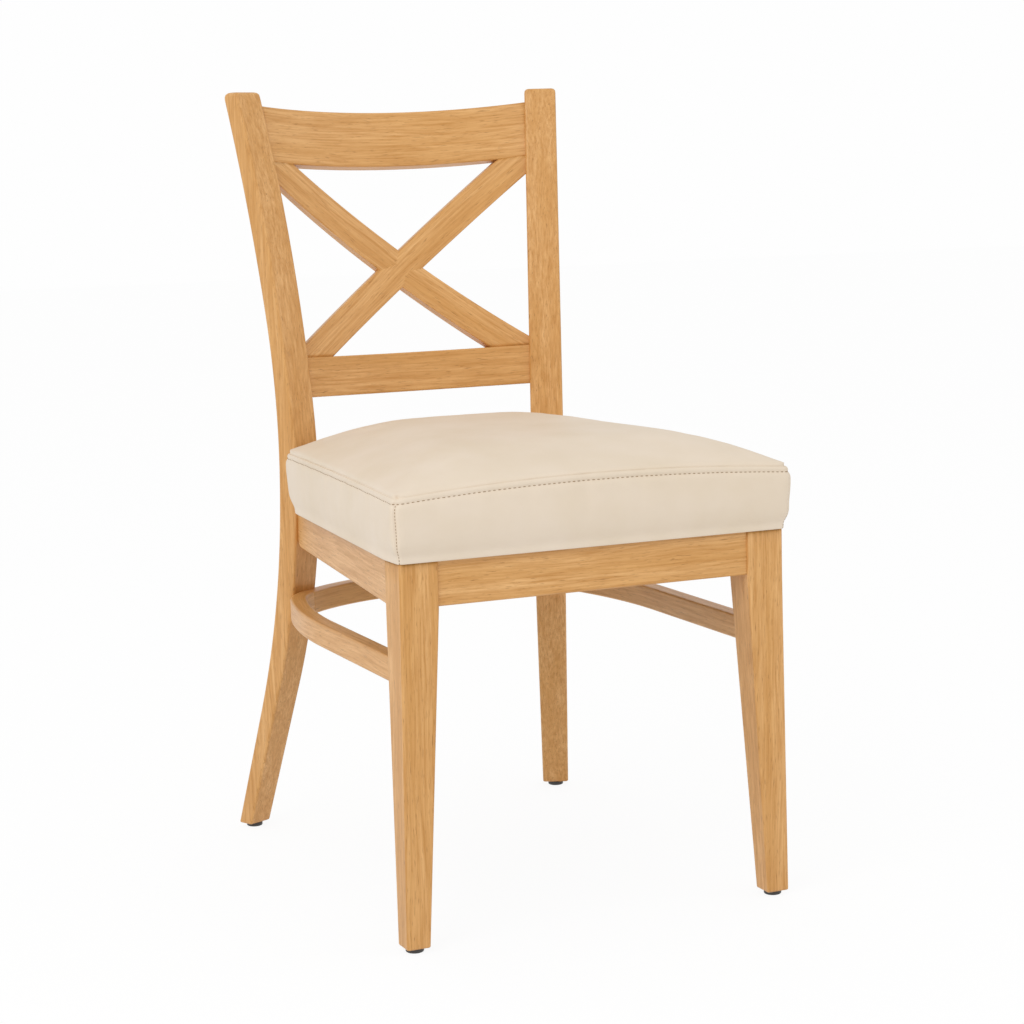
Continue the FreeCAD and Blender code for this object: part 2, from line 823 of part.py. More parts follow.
side_board = side_apron_blank()
apron_run = (APRON_FINISH - APRON_START).Length
root = size("side_tenon_root")
side_tongue_front = along_apron("side_tongue_front", -size("tenon_length"), root)
rear_reach = size("side_tenon_rear_reach")
side_tongue_rear = along_apron("side_tongue_rear", apron_run - root, apron_run + rear_reach)
side_seated = cut("side_apron_seated", side_board, [post_blank])
side_apron = join("side_apron_joined", [side_seated, side_tongue_front, side_tongue_rear])

front_board = straight_apron("front_apron", "leg_outer_x - leg_side", "front_apron_setback")
front_tongue_middle = Vector(
    size("leg_outer_x - leg_side + tenon_length / 2 - tenon_root"),
    size(depth("front_apron_setback + apron_thickness / 2")),
    0,
)
front_tongue_right = tongue("front_tongue_right", front_tongue_middle, 0, "tenon_length + 2 * tenon_root")
front_tongue_left = mirrored("front_tongue_left", front_tongue_right)
front_apron = join("front_apron_joined", [front_board, front_tongue_right, front_tongue_left])

rear_board = straight_apron("rear_apron", "leg_outer_x", "rear_apron_depth")
rear_line = Vector(0, size(depth("rear_apron_depth + apron_thickness / 2")), 0)
post_inner = post_point(-post_half_width(size("apron_top")), 0, 0)
post_backwards = Vector(sine(size("post_turn")), cosine(size("post_turn")), 0)
rear_entry = meet(post_inner, post_backwards, rear_line, ACROSS)
rear_middle = rear_entry + Vector(size("rear_tenon_shift"), 0, 0)
rear_tongue_right = tongue("rear_tongue_right", rear_middle, 0, "tenon_length + tenon_root")
rear_tongue_left = mirrored("rear_tongue_left", rear_tongue_right)
rear_trimmed = cut("rear_apron_trimmed", rear_board, [right_of_back, left_of_back])
rear_apron = join("rear_apron_joined", [rear_trimmed, rear_tongue_right, rear_tongue_left])


# Hoop stretcher
HOOP_CENTRE = Vector(0, size(depth("hoop_rear_centre")), 0)


def hoop_point(centre, radius, angle):
    return centre + Vector(cosine(angle), sine(angle), 0) * radius


def hoop_centres():
    """Centres of the corner arc and the side arc, and the side arc's radius, on the right."""
    seam = size("hoop_corner_turn")
    turn = size("hoop_side_turn")
    corner = hoop_point(HOOP_CENTRE, size("hoop_rear_radius") - size("hoop_corner_radius"), seam)
    handover = hoop_point(corner, size("hoop_corner_radius"), turn)
    radius = (size("hoop_inner_x") - handover.x) / (1 - cosine(turn))
    return corner, hoop_point(handover, -radius, turn), radius


HOOP_CORNER, HOOP_SIDE, HOOP_SIDE_RADIUS = hoop_centres()


def side_hoop_blank():
    """The right arm of the hoop: straight from the front leg, then bending in to the post."""
    body = new_body("hoop_side_body")
    seam = size("hoop_corner_turn")
    turn = size("hoop_side_turn")
    thick = size("hoop_thickness")
    corner = size("hoop_corner_radius")
    start = size(depth("leg_foot_side"))
    inner = [hoop_point(HOOP_CORNER, corner, turn), hoop_point(HOOP_CORNER, corner, seam)]
    outer = [hoop_point(HOOP_CORNER, corner + thick, seam), hoop_point(HOOP_CORNER, corner + thick, turn)]
    sketch = sketch_on(body, "XY_Plane", "hoop_side_plan", "hoop_base")
    draw(sketch, [
        ("hoop_inner_x", start),
        ("hoop_inner_x", HOOP_SIDE.y, HOOP_SIDE_RADIUS),
        (inner[0].x, inner[0].y, "hoop_corner_radius"),
        (inner[1].x, inner[1].y),
        (outer[0].x, outer[0].y, "-(hoop_corner_radius + hoop_thickness)"),
        (outer[1].x, outer[1].y, -(HOOP_SIDE_RADIUS + thick)),
        ("hoop_inner_x + hoop_thickness", HOOP_SIDE.y),
        ("hoop_inner_x + hoop_thickness", start),
    ])
    bar = pad(body, sketch, "hoop_height", "hoop_side_bar")
    level = lambda edge: edge.Length > 25 and abs(edge.Vertexes[0].Z - edge.Vertexes[-1].Z) < 0.01
    round_edges(body, bar, level, "hoop_bevel", "hoop_side_bevels", "PartDesign::Chamfer")
    return body


def rear_hoop_blank():
    body = new_body("hoop_rear_body")
    sketch = sketch_on(body, "XY_Plane", "hoop_rear_plan", "hoop_base")
    radius = size("hoop_rear_radius")
    crest = HOOP_CENTRE.y + radius
    draw(sketch, bowed_outline(radius, size("hoop_thickness"), crest, 90 - size("hoop_corner_turn")))
    bar = pad(body, sketch, "hoop_height", "hoop_rear_bar")
    level = lambda edge: edge.Length > 100
    round_edges(body, bar, level, "hoop_bevel", "hoop_rear_bevels", "PartDesign::Chamfer")
    return body


side_hoop_body = side_hoop_blank()
rear_hoop_body = rear_hoop_blank()
hoop_tongue = box(
    "hoop_tongue",
    "tenon_thickness",
    "hoop_tenon_length",
    "hoop_height * hoop_tenon_share",
    turned(Vector(
        size("hoop_inner_x + hoop_thickness / 2"),
        size(depth("leg_foot_side - hoop_tenon_reach + hoop_tenon_length / 2")),
        size("hoop_base + hoop_height * (1 - hoop_tenon_share) / 2"),
    )),
)
side_hoop_trimmed = cut("hoop_side_trimmed", side_hoop_body, [leg_blank])
side_hoop = join("hoop_side_joined", [side_hoop_trimmed, hoop_tongue])


def aimed(point, direction):
    """A placement at a point with its Z along a direction."""
    return Placement(point, Rotation(Vector(0, 0, 1), direction))


# two hidden dowels at each post hold the hoop's lengths, one on each side of the seam
hoop_level = size("hoop_base + hoop_height / 2")
HOOP_DOWELS = []
for name, centre, radius, turn, aim in (
    ("side", HOOP_CORNER, "hoop_corner_radius", "hoop_side_dowel_turn", "hoop_side_dowel_aim"),
    ("rear", HOOP_CENTRE, "hoop_rear_radius", "hoop_rear_dowel_turn", "hoop_rear_dowel_turn"),
):
    direction = Vector(cosine(size(aim)), sine(size(aim)), 0)
    start = hoop_point(centre, size(radius), size(turn)) + direction * size("hoop_dowel_start")
    start.z = hoop_level
    dowel = rod("hoop_%s_dowel" % name, "dowel_diameter", "hoop_dowel_length", aimed(start, direction))
    HOOP_DOWELS += [dowel, mirrored("hoop_%s_dowel_left" % name, dowel)]
node(group("hoop_dowels", HOOP_DOWELS), "stretcher_dowels")
hoop_holes = join("hoop_holes", HOOP_DOWELS)


# Screws
def screw(name, place, length):
    """A pan head wood screw driven along the placement's Z, and the hole that its shank needs.

    The placement lies on the surface under the head.
    """
    seated = place.multiply(turned(Vector(0, 0, -size("screw_head_height"))))
    head = rod(name + "_head", "screw_head_diameter", "screw_head_height", seated)
    shank = rod(name + "_shank", "screw_diameter", length, place)
    hole = rod(name + "_hole", "screw_diameter + hole_play", "%s + hole_play" % length, place)
    return join(name, [head, shank]), hole


def pair(name, solids):
    """A right hand screw and its hole, each with its mirror image on the left."""
    solid, hole = solids
    return [solid, mirrored(name + "_left", solid)], [hole, mirrored(name + "_hole_left", hole)]



# Corner blocks
def block_corners(corner, first, second):
    """A diagonal block across a corner of the seat frame, between two inner faces."""
    reach = size("block_reach")
    far = reach + size("block_foot")
    return [corner + first * reach, corner + first * far, corner + second * far, corner + second * reach]


SIDE_INNER = APRON_START + APRON_INWARD * size("apron_thickness")
FRONT_LINE = Vector(0, size(depth("front_apron_setback + apron_thickness")), 0)
REAR_LINE = Vector(0, size(depth("rear_apron_depth")), 0)
FRONT_CORNER = meet(SIDE_INNER, APRON_ALONG, FRONT_LINE, ACROSS)
REAR_CORNER = meet(SIDE_INNER, APRON_ALONG, REAR_LINE, ACROSS)
LEFTWARDS = Vector(-1, 0, 0)

SEAT_SCREWS = []
SEAT_HOLES = []
BLOCK_SCREWS = []
BLOCK_HOLES = []
BLOCKS = []
for name, corner, along_side in (
    ("front", FRONT_CORNER, APRON_ALONG),
    ("rear", REAR_CORNER, APRON_ALONG * -1),
):
    body = new_body(name + "_block_body")
    sketch = sketch_on(body, "XY_Plane", name + "_block_plan", "apron_top - block_height")
    draw(sketch, [(point.x, point.y) for point in block_corners(corner, LEFTWARDS, along_side)])
    pad(body, sketch, "block_height", name + "_block_pad")
    reach = size("block_reach + block_foot / 2")
    centre = corner + LEFTWARDS * (reach / 2) + along_side * (reach / 2)
    base = size("apron_top - block_height")
    upward = aimed(Vector(centre.x, centre.y, base), Vector(0, 0, 1))
    screws, holes = pair(name + "_seat_screw", screw(name + "_seat_screw", upward, "seat_screw_length"))
    SEAT_SCREWS += screws
    SEAT_HOLES += holes
    far = size("block_reach + block_foot")
    to_corner = (LEFTWARDS + along_side).normalize() * -1
    near = size("block_screw_share")
    for number, share in enumerate((near, 1 - near)):
        point = corner + LEFTWARDS * (far * share) + along_side * (far * (1 - share))
        point.z = base + size("block_height") / 2
        label = "%s_block_screw_%d" % (name, number)
        screws, holes = pair(label, screw(label, aimed(point, to_corner), "block_screw_length"))
        BLOCK_SCREWS += screws
        BLOCK_HOLES += holes
    BLOCKS.append((name, body))
node(group("seat_screws_group", SEAT_SCREWS), "seat_fixing_screws")
node(group("block_screws_group", BLOCK_SCREWS), "corner_block_screws")
seat_holes = join("seat_holes", SEAT_HOLES)
block_holes = join("block_holes", BLOCK_HOLES)
for name, body in BLOCKS:
    drilled = cut(name + "_block_drilled", body, [seat_holes, block_holes])
    node(drilled, "corner_block_%s_right" % name)
    node(mirrored(name + "_block_left", drilled), "corner_block_%s_left" % name)

# Glides
GLIDES = []
PINS = []
PIN_HOLES = []
foot_middle = size("leg_outer_x + leg_splay - leg_foot_side / 2")
rear_middle_line = (POST_FRONT.start[0] + POST_REAR.start[0]) / 2
for name, foot in (
    ("front", Vector(foot_middle, size(depth("leg_foot_side / 2")), 0)),
    ("rear", post_point(0, rear_middle_line, 0)),
):
    body = new_body(name + "_glide_body")
    body.Placement = turned(Vector(foot.x, foot.y, 0))
    sketch = sketch_on(body, "XZ_Plane", name + "_glide_profile")
    draw(sketch, [
        (0, 0),
        ("glide_diameter / 2 - 1", 0),
        ("glide_diameter / 2", 1),
        ("glide_diameter / 2", "glide_height"),
        (0, "glide_height"),
    ])
    turning = body.newObject("PartDesign::Revolution", name + "_glide_turned")
    turning.Profile = sketch
    turning.ReferenceAxis = (sketch, ["V_Axis"])
    turning.Angle = 360
    doc.recompute()
    on_glide = turned(Vector(foot.x, foot.y, size("glide_height")))
    pin = rod(name + "_glide_pin", "glide_pin_diameter", "glide_pin_length", on_glide)
    hole_length = "glide_pin_length + hole_play"
    hole = rod(name + "_glide_hole", "glide_pin_diameter + hole_play", hole_length, on_glide)
    GLIDES += [body, mirrored(name + "_glide_left", body)]
    PINS += [pin, mirrored(name + "_glide_pin_left", pin)]
    PIN_HOLES.append(hole)
node(group("glides_group", GLIDES), "foot_glides")
node(group("glide_pins_group", PINS), "foot_glide_pins")
front_pin_hole, rear_pin_hole = PIN_HOLES

# Finished frame pieces
leg_mortises = [front_tongue_right, side_tongue_front, hoop_tongue, front_pin_hole]
leg = cut("front_leg_jointed", leg_blank, leg_mortises)
node(leg, "front_leg_right")
node(mirrored("front_leg_mirrored", leg), "front_leg_left")

morticed = cut("back_post_morticed", post_blank, [
    top_tenon_right,
    lower_tenon_right,
    side_tongue_rear,
    rear_tongue_right,
])
notched = cut("back_post_notched", morticed, [side_hoop_body, rear_hoop_body])
post = cut("back_post_drilled", cut("back_post_pinned", notched, [rear_pin_hole]), [hoop_holes])
node(post, "back_post_right")
node(mirrored("back_post_mirrored", post), "back_post_left")

side = cut("side_apron_drilled", side_apron, [block_holes])
node(side, "side_apron_right")
node(mirrored("side_apron_mirrored", side), "side_apron_left")
node(cut("front_apron_drilled", front_apron, [block_holes]), "front_apron")
node(cut("rear_apron_drilled", rear_apron, [block_holes]), "rear_apron")

arm = cut("hoop_side_drilled", side_hoop, [hoop_holes])
node(arm, "side_stretcher_right")
node(mirrored("hoop_side_mirrored", arm), "side_stretcher_left")
node(cut("hoop_rear_drilled", rear_hoop_body, [hoop_holes]), "rear_stretcher")


# Cushion
def cushion_outline(inset):
    """The seat's plan drawn in by an inset: a straight front, two sides that close towards
    the rear, and a rear edge bowed between the posts, all with rounded corners.
    """
    front_radius = size("seat_front_corner_radius")
    rear_radius = size("seat_rear_corner_radius")
    front = size(depth("-seat_overhang"))
    side_start = Vector(size("leg_outer_x + seat_overhang"), front, 0)
    side_end = Vector(size("seat_rear_half_width"), size(depth("seat_rear_corner")), 0)
    along = (side_end - side_start).normalize()
    inward = Vector(-along.y, along.x, 0)
    rear_bow = size("seat_rear_radius")
    rear_centre = Vector(0, size(depth("seat_rear_crest")) - rear_bow, 0)
    front_line = Vector(0, front + inset + front_radius, 0)
    front_hub = meet(side_start + inward * (inset + front_radius), along, front_line, ACROSS)
    base = side_start + inward * (inset + rear_radius)
    gap = base - rear_centre
    reach = rear_bow - inset - rear_radius
    half = gap.dot(along)
    rear_hub = base + along * (-half + math.sqrt(half * half - gap.dot(gap) + reach * reach))
    rear_point = rear_centre + (rear_hub - rear_centre).normalize() * (rear_bow - inset)
    front_side = front_hub - inward * front_radius
    rear_side = rear_hub - inward * rear_radius
    return [
        (-front_hub.x, front + inset),
        (front_hub.x, front + inset, front_radius),
        (front_side.x, front_side.y),
        (rear_side.x, rear_side.y, rear_radius),
        (rear_point.x, rear_point.y, rear_bow - inset),
        (-rear_point.x, rear_point.y, rear_radius),
        (-rear_side.x, rear_side.y),
        (-front_side.x, front_side.y, front_radius),
    ]


BOXING_SHARES = (0.12, 0.54, 0.8, 1.0)
CROWN_SHARES = (0.16, 0.46, 0.85)


def cushion_levels(inside, start):
    """The sections of the stuffed form, each as its height over the aprons and its inset.

    The boxing is tucked in below, fullest near its middle and drawn in to the seam, and the
    top rises from there in a low crown. The form of the filling lies inside the cover by
    "inside", begins at "start" and has every other section.
    """
    seam = size("seam_height")
    fullest = size("fullest_height")
    drawn = size("seam_draw")
    boxing = BOXING_SHARES[1::2] if inside else BOXING_SHARES
    levels = []
    for rise in [start] + [seam * share for share in boxing]:
        if rise < fullest:
            inset = size("bottom_tuck") * ((fullest - rise) / fullest) ** 2
        else:
            inset = drawn * ((rise - fullest) / (seam - fullest)) ** 2
        levels.append((rise, inset + inside))
    for share in CROWN_SHARES[1::2] if inside else CROWN_SHARES:
        crown = (size("crown_height") - seam) * (1 - (1 - share) ** 2)
        levels.append((seam + crown - inside, drawn + (size("crown_reach") - drawn) * share + inside))
    return levels


def cushion_form(name, inside, start):
    body = new_body(name)
    sections = []
    for number, (rise, inset) in enumerate(cushion_levels(inside, start)):
        sketch = sketch_on(body, "XY_Plane", "%s_section_%d" % (name, number), "apron_top + %f" % rise)
        draw(sketch, cushion_outline(inset))
        sections.append(sketch)
    doc.recompute()
    loft = body.newObject("PartDesign::AdditiveLoft", name + "_loft")
    loft.Profile = sections[0]
    loft.Sections = sections[1:]
    loft.Ruled = True
    doc.recompute()
    return body


def plan_slab(name, inset, base, thickness):
    """A flat slab with the seat's outline drawn in by an inset."""
    body = new_body(name)
    sketch = sketch_on(body, "XY_Plane", name + "_plan", base)
    draw(sketch, cushion_outline(size(inset)))
    pad(body, sketch, thickness, name + "_slab")
    return body


def staple(name, x, y, angle):
    """A wire staple: its crown under the turned in cover and two legs up into the board."""
    wire = size("staple_wire")
    crown = size("staple_crown")
    place = turned(Vector(x, y, size("apron_top")), ("z", angle))
    pieces = [box(name + "_crown", "staple_crown", "staple_wire", "staple_wire", place)]
    for number, side in enumerate((-1, 1)):
        leg_place = place.multiply(Placement(Vector(side * (crown - wire) / 2, 0, 0), Rotation()))
        leg_name = "%s_leg_%d" % (name, number)
        pieces.append(box(leg_name, "staple_wire", "staple_wire", "staple_leg", leg_place))
    return join(name, pieces)


def staple_row():
    """The right half of the staples, in a line inside the cover's turned in edge."""
    inset = size("staple_line_inset")
    front = size(depth("-seat_overhang"))
    crest = size(depth("seat_rear_crest")) - inset
    start = Vector(size("leg_outer_x + seat_overhang"), front, 0)
    finish = Vector(size("seat_rear_half_width"), size(depth("seat_rear_corner")), 0)
    along = (finish - start).normalize()
    inward = Vector(-along.y, along.x, 0) * inset
    angle = math.degrees(math.atan2(along.y, along.x))
    gap = size("staple_gap")
    row = []
    for number in range(2):
        x = gap * (number + size("staple_front_share"))
        row.append(staple("front_staple_%d" % number, x, front + inset, 0))
        rear_x = x * size("staple_rear_share")
        drop = rear_x * rear_x / (2 * size("seat_rear_radius"))
        row.append(staple("rear_staple_%d" % number, rear_x, crest - drop, 0))
    for number in range(4):
        point = start + inward + along * (gap * (number + size("staple_side_share")))
        row.append(staple("side_staple_%d" % number, point.x, point.y, angle))
    return row


BOARD_BASE = "apron_top + cover_thickness"
board_top = size("cover_thickness + board_thickness")
cushion = cushion_form("cushion_form", 0.0, 0.0)
filling_room = cushion_form("filling_room", size("cover_thickness"), board_top)
foam = cushion_form("foam_form", size("cover_thickness + foam_play"), board_top)
board = plan_slab("board_form", "board_inset", BOARD_BASE, "board_thickness")
opening = plan_slab("cover_opening", "board_inset + cover_turn_in", "apron_top - 1", "cover_thickness + 2")
dust_cloth = plan_slab(
    "dust_cloth_form",
    "board_inset + cover_turn_in + foam_play",
    BOARD_BASE + " - dust_cloth_thickness",
    "dust_cloth_thickness",
)
staples = staple_row()
staples += [mirrored(item.Name + "_left", item) for item in staples]
staple_holes = join("staple_holes", staples)
node(group("staples_group", staples), "cover_staples")
node(cut("board_pierced", board, [seat_holes, staple_holes]), "seat_board")
node(foam, "seat_foam")
node(cut("dust_cloth_pierced", dust_cloth, [seat_holes]), "seat_dust_cloth")
node(cut("cover_sewn", cushion, [board, filling_room, opening, staple_holes]), "seat_cover")


# Checks and files
doc.recompute()
for item in doc.Objects:
    if "Invalid" in item.State or "Error" in item.State:
        raise RuntimeError("%s failed: %s" % (item.Name, item.State))
for item in NODES:
    if item.Shape.isNull() or not item.Shape.isValid():
        raise RuntimeError("%s has no valid shape" % item.Label)

os.makedirs("parts", exist_ok=True)
for item in NODES:
    item.Shape.exportStep(os.path.join("parts", item.Label + ".step"))
    volume = item.Shape.Volume / 1000.0
    print("%-24s %2d solid(s) %9.1f cm3" % (item.Label, len(item.Shape.Solids), volume))
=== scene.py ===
import bpy
import math
import numpy as np
from mathutils import Matrix, Vector
from mathutils.kdtree import KDTree


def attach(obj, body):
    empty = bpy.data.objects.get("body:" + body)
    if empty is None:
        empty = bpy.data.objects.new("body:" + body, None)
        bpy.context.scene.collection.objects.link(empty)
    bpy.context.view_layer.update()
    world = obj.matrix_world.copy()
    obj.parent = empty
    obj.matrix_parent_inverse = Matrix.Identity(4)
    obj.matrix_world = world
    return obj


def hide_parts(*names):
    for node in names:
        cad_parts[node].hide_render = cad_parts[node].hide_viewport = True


# The looks of a cross back dining chair: oak frame, box cushion in smooth leather.
# Sizes are in millimetres and angles in degrees until a mesh is made; the chair's axes are
# the solids' own: +Z up, the sitter looks towards -Y and "right" is the +X side.
MM = 0.001

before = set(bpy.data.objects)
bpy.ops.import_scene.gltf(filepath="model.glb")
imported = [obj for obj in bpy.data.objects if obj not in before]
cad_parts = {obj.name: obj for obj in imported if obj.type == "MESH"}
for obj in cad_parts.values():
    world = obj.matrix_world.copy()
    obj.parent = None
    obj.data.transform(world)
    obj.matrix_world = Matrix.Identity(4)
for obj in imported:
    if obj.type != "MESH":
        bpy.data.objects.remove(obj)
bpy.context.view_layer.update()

# Sizes. The post's two lines are each: place at the foot, the foot's lean, the height where
# the foot's straight part ends, the seat arc's radius, the back's lean and its arc's radius.
FRONT_Y = -286.7
GLIDE_HEIGHT = 5.0
GLIDE_RADIUS = 9.5
LEG_OUTER_X = 218.0
LEG_SIDE = 42.0
LEG_FOOT = 26.0
LEG_SPLAY = 4.0
LEG_EDGE = 2.2
FOOT_ROUND = 2.0
APRON_TOP = 406.0
APRON_BOTTOM = 355.0
POST_X = 140.0
POST_DEPTH = 423.0
POST_TURN = 25.0
POST_TOP = 880.0
POST_FRONT_LINE = (137.2, 18.97, 182.7, 783.9, 5.73, 1984.4)
POST_REAR_LINE = (158.4, 18.25, 150.4, 985.1, 9.36, 2392.2)
POST_WIDTHS = (32.0, 39.5, 38.0)
POST_EDGE = 3.0
POST_TOP_SIDE_ROUND = 4.5
POST_TOP_FRONT_ROUND = 3.0
POST_TOP_REAR_ROUND = 9.0
RAIL_THICKNESS = 20.0
RAIL_SETBACK = 5.0
RAIL_EDGE = 2.0
RAIL_TONGUE = 8.0
TOP_RAIL_BASE = 799.2
TOP_RAIL_HEIGHT = 66.3
LOWER_RAIL_BASE = 526.2
LOWER_RAIL_HEIGHT = 46.7
SLAT_WIDTH = 35.0
SLAT_THICKNESS = 16.0
SLAT_SETBACK = 2.5
SLAT_RADIUS = 364.0
SLAT_ANGLE = 38.2
SLAT_CROSSING = 101.3
SLAT_EDGE = 1.6
SLAT_END_GAP = 0.4
HALVING_REACH = SLAT_WIDTH * 0.62
HALVING_DROP = 0.25
SLAT_END_GUESSES = (-160.0, 200.0)
NEWTON_NUDGE = 0.5
HOOP_BASE = 274.0
HOOP_HEIGHT = 26.0
HOOP_THICKNESS = 19.0
HOOP_INNER_X = 195.5
HOOP_SIDE_TURN = 16.0
HOOP_CORNER_RADIUS = 74.0
HOOP_SEAM = 48.0
HOOP_REAR_RADIUS = 228.0
HOOP_REAR_CENTRE = 278.0
HOOP_START = 22.0
HOOP_EDGE = 2.4
HOOP_SEAM_ROUND = 0.9
SEAT_OVERHANG = 10.5
SEAT_REAR_HALF = 189.0
SEAT_REAR_CORNER = 441.0
SEAT_REAR_CREST = 477.0
SEAT_REAR_RADIUS = 446.0
SEAT_FRONT_CORNER = 13.0
SEAT_REAR_ROUND = 30.0
FULLEST = 34.0
SEAM = 63.0
CROWN = 96.0
CROWN_REACH = 175.0
CROWN_POWER = 5
CORNER_SOFTNESS = 1.2
SEAM_BOW_FRONT = 10.0
SEAM_BOW_SIDE = 1.5
SEAM_BOW_REAR = 5.0
SIDE_EASE = 4.5
BOTTOM_TUCK = 9.5
SEAM_DRAW = 4.0
TURN_IN = 18.0


# Colours and nodes
def linear(colour):
    """An sRGB hex colour as linear red, green, blue and alpha."""
    parts = [int(colour[i : i + 2], 16) / 255 for i in (1, 3, 5)]
    return tuple(c / 12.92 if c <= 0.04045 else ((c + 0.055) / 1.055) ** 2.4 for c in parts) + (1.0,)


def add(tree, kind, inputs=None, **settings):
    """Adds a node. An input is a number, a colour, a socket, or a node for its first output."""
    item = tree.nodes.new("ShaderNode" + kind)
    for name, value in settings.items():
        setattr(item, name, value)
    for name, value in (inputs or {}).items():
        if isinstance(value, bpy.types.Node):
            value = value.outputs[0]
        if isinstance(value, bpy.types.NodeSocket):
            tree.links.new(value, item.inputs[name])
        else:
            item.inputs[name].default_value = value
    return item


def new_material(name):
    material = bpy.data.materials.new(name)
    material.use_nodes = True
    material.node_tree.nodes.clear()
    return material, material.node_tree


def finish_material(tree, shader):
    add(tree, "OutputMaterial", {"Surface": shader})


# Oak, planed and sealed with a clear satin lacquer: warm honey brown, streaks that run the
# length of each piece, short dark pores and a soft shine. Each field is its length along
# the grain and its width across it in millimetres, its detail, its roughness, and the
# levels of its noise where it starts and where it is full.
OAK_FIELDS = {
    "tone": (520.0, 15.0, 2.0, 0.5, 0.3, 0.7),
    "streak": (75.0, 2.6, 5.0, 0.66, 0.32, 0.68),
    "fleck": (13.0, 1.0, 2.0, 0.5, 0.6, 0.76),
}
# each field's colour, its own input of the mix (6 low, 7 high), and the other one
OAK_SHADES = (("tone", "#DCA45D", 6, 7), ("streak", "#C68B43", 6, 7), ("fleck", "#A97434", 7, 6))


def oak(name, turn=None):
    """Lacquered oak. The grain runs along X of the piece's own grain map, or, where a turn is
    given, along X of the piece's space after that turn.
    """
    material, tree = new_material(name)
    if turn is None:
        source = add(tree, "Attribute", attribute_name="Grain").outputs["Vector"]
    else:
        space = add(tree, "TexCoord").outputs["Object"]
        rotation = tuple(math.radians(angle) for angle in turn)
        source = add(tree, "Mapping", {"Vector": space, "Rotation": rotation})
    # the streaks wander sideways by a few millimetres over a hand's length
    wide = add(tree, "Mapping", {"Vector": source, "Scale": (5.0, 28.0, 28.0)})
    wander = add(tree, "TexNoise", {"Vector": wide, "Scale": 1.0, "Detail": 1.0}).outputs["Color"]
    centred = add(tree, "VectorMath", {0: wander, 1: (0.5, 0.5, 0.5)}, operation="SUBTRACT")
    shift = {0: centred, 1: (0.0, 0.012, 0.012), 2: source}
    sideways = add(tree, "VectorMath", shift, operation="MULTIPLY_ADD")
    fields, levels = {}, {}
    for field, (along, across, detail, roughness, low, high) in OAK_FIELDS.items():
        scale = (1 / (along * MM), 1 / (across * MM), 1 / (across * MM))
        drawn = add(tree, "Mapping", {"Vector": sideways, "Scale": scale})
        inputs = {"Vector": drawn, "Scale": 1.0, "Detail": detail, "Roughness": roughness}
        fields[field] = add(tree, "TexNoise", inputs)
        levels[field] = add(tree, "MapRange", {"Value": fields[field], "From Min": low, "From Max": high})
    # darker where the tone and the streaks are low, and where the pores are high
    colour = linear("#EEBB7B")
    for field, shade, own, under in OAK_SHADES:
        mix = {0: levels[field], own: linear(shade), under: colour}
        colour = add(tree, "Mix", mix, data_type="RGBA").outputs[2]
    gloss = add(tree, "MapRange", {"Value": fields["streak"], "To Min": 0.5, "To Max": 0.36})
    relief = add(tree, "Math", {0: fields["streak"], 1: levels["fleck"]}, operation="SUBTRACT")
    bump = add(tree, "Bump", {"Height": relief, "Strength": 0.35, "Distance": 0.15 * MM})
    looks = {"Base Color": colour, "Roughness": gloss, "Normal": bump, "IOR": 1.5}
    lacquer = {"Coat Weight": 0.15, "Coat Roughness": 0.28}
    finish_material(tree, add(tree, "BsdfPrincipled", {**looks, **lacquer}))
    return material


def leather():
    """Pigmented cowhide, smooth and lightly plumped: cream beige with a soft satin sheen, a
    pebble of about a millimetre and faint clouds of tone as wide as a hand.
    """
    material, tree = new_material("smooth_pigmented_leather")
    space = add(tree, "TexCoord").outputs["Object"]
    cloud = add(tree, "TexNoise", {"Vector": space, "Scale": 1 / (85 * MM), "Detail": 3.0, "Roughness": 0.5})
    clouded = add(tree, "MapRange", {"Value": cloud, "From Min": 0.32, "From Max": 0.68})
    mix = {0: clouded, 6: linear("#E4D3BB"), 7: linear("#EADAC6")}
    colour = add(tree, "Mix", mix, data_type="RGBA").outputs[2]
    pebble = add(tree, "TexVoronoi", {"Vector": space, "Scale": 1 / (1.3 * MM)}, feature="SMOOTH_F1")
    crease = add(tree, "TexNoise", {"Vector": space, "Scale": 1 / (9 * MM), "Detail": 4.0, "Roughness": 0.6})
    relief = add(tree, "Math", {0: crease, 1: 1.6, 2: pebble}, operation="MULTIPLY_ADD")
    bump = add(tree, "Bump", {"Height": relief, "Strength": 0.25, "Distance": 0.22 * MM})
    gloss = add(tree, "MapRange", {"Value": crease, "To Min": 0.42, "To Max": 0.56})
    looks = {"Base Color": colour, "Roughness": gloss, "Normal": bump, "IOR": 1.45}
    finish_material(tree, add(tree, "BsdfPrincipled", looks))
    return material


def plain_finish(name, light, dark, grain_size, roughness, depth, metallic=0.0, stretch=(1.0, 1.0, 1.0)):
    """A finish of two close colours mixed by a fine noise that also roughens its surface."""
    material, tree = new_material(name)
    space = add(tree, "TexCoord").outputs["Object"]
    drawn = add(tree, "Mapping", {"Vector": space, "Scale": stretch})
    noise = add(tree, "TexNoise", {"Vector": drawn, "Scale": 1 / (grain_size * MM), "Detail": 3.0})
    mix = {0: noise, 6: linear(dark), 7: linear(light)}
    colour = add(tree, "Mix", mix, data_type="RGBA").outputs[2]
    gloss = add(tree, "MapRange", {"Value": noise, "To Min": roughness - 0.06, "To Max": roughness + 0.06})
    bump = add(tree, "Bump", {"Height": noise, "Strength": 0.3, "Distance": depth * MM})
    looks = {"Base Color": colour, "Roughness": gloss, "Normal": bump, "Metallic": metallic}
    finish_material(tree, add(tree, "BsdfPrincipled", looks))
    return material


OAK = oak("oak_planed_and_lacquered")
LEATHER = leather()
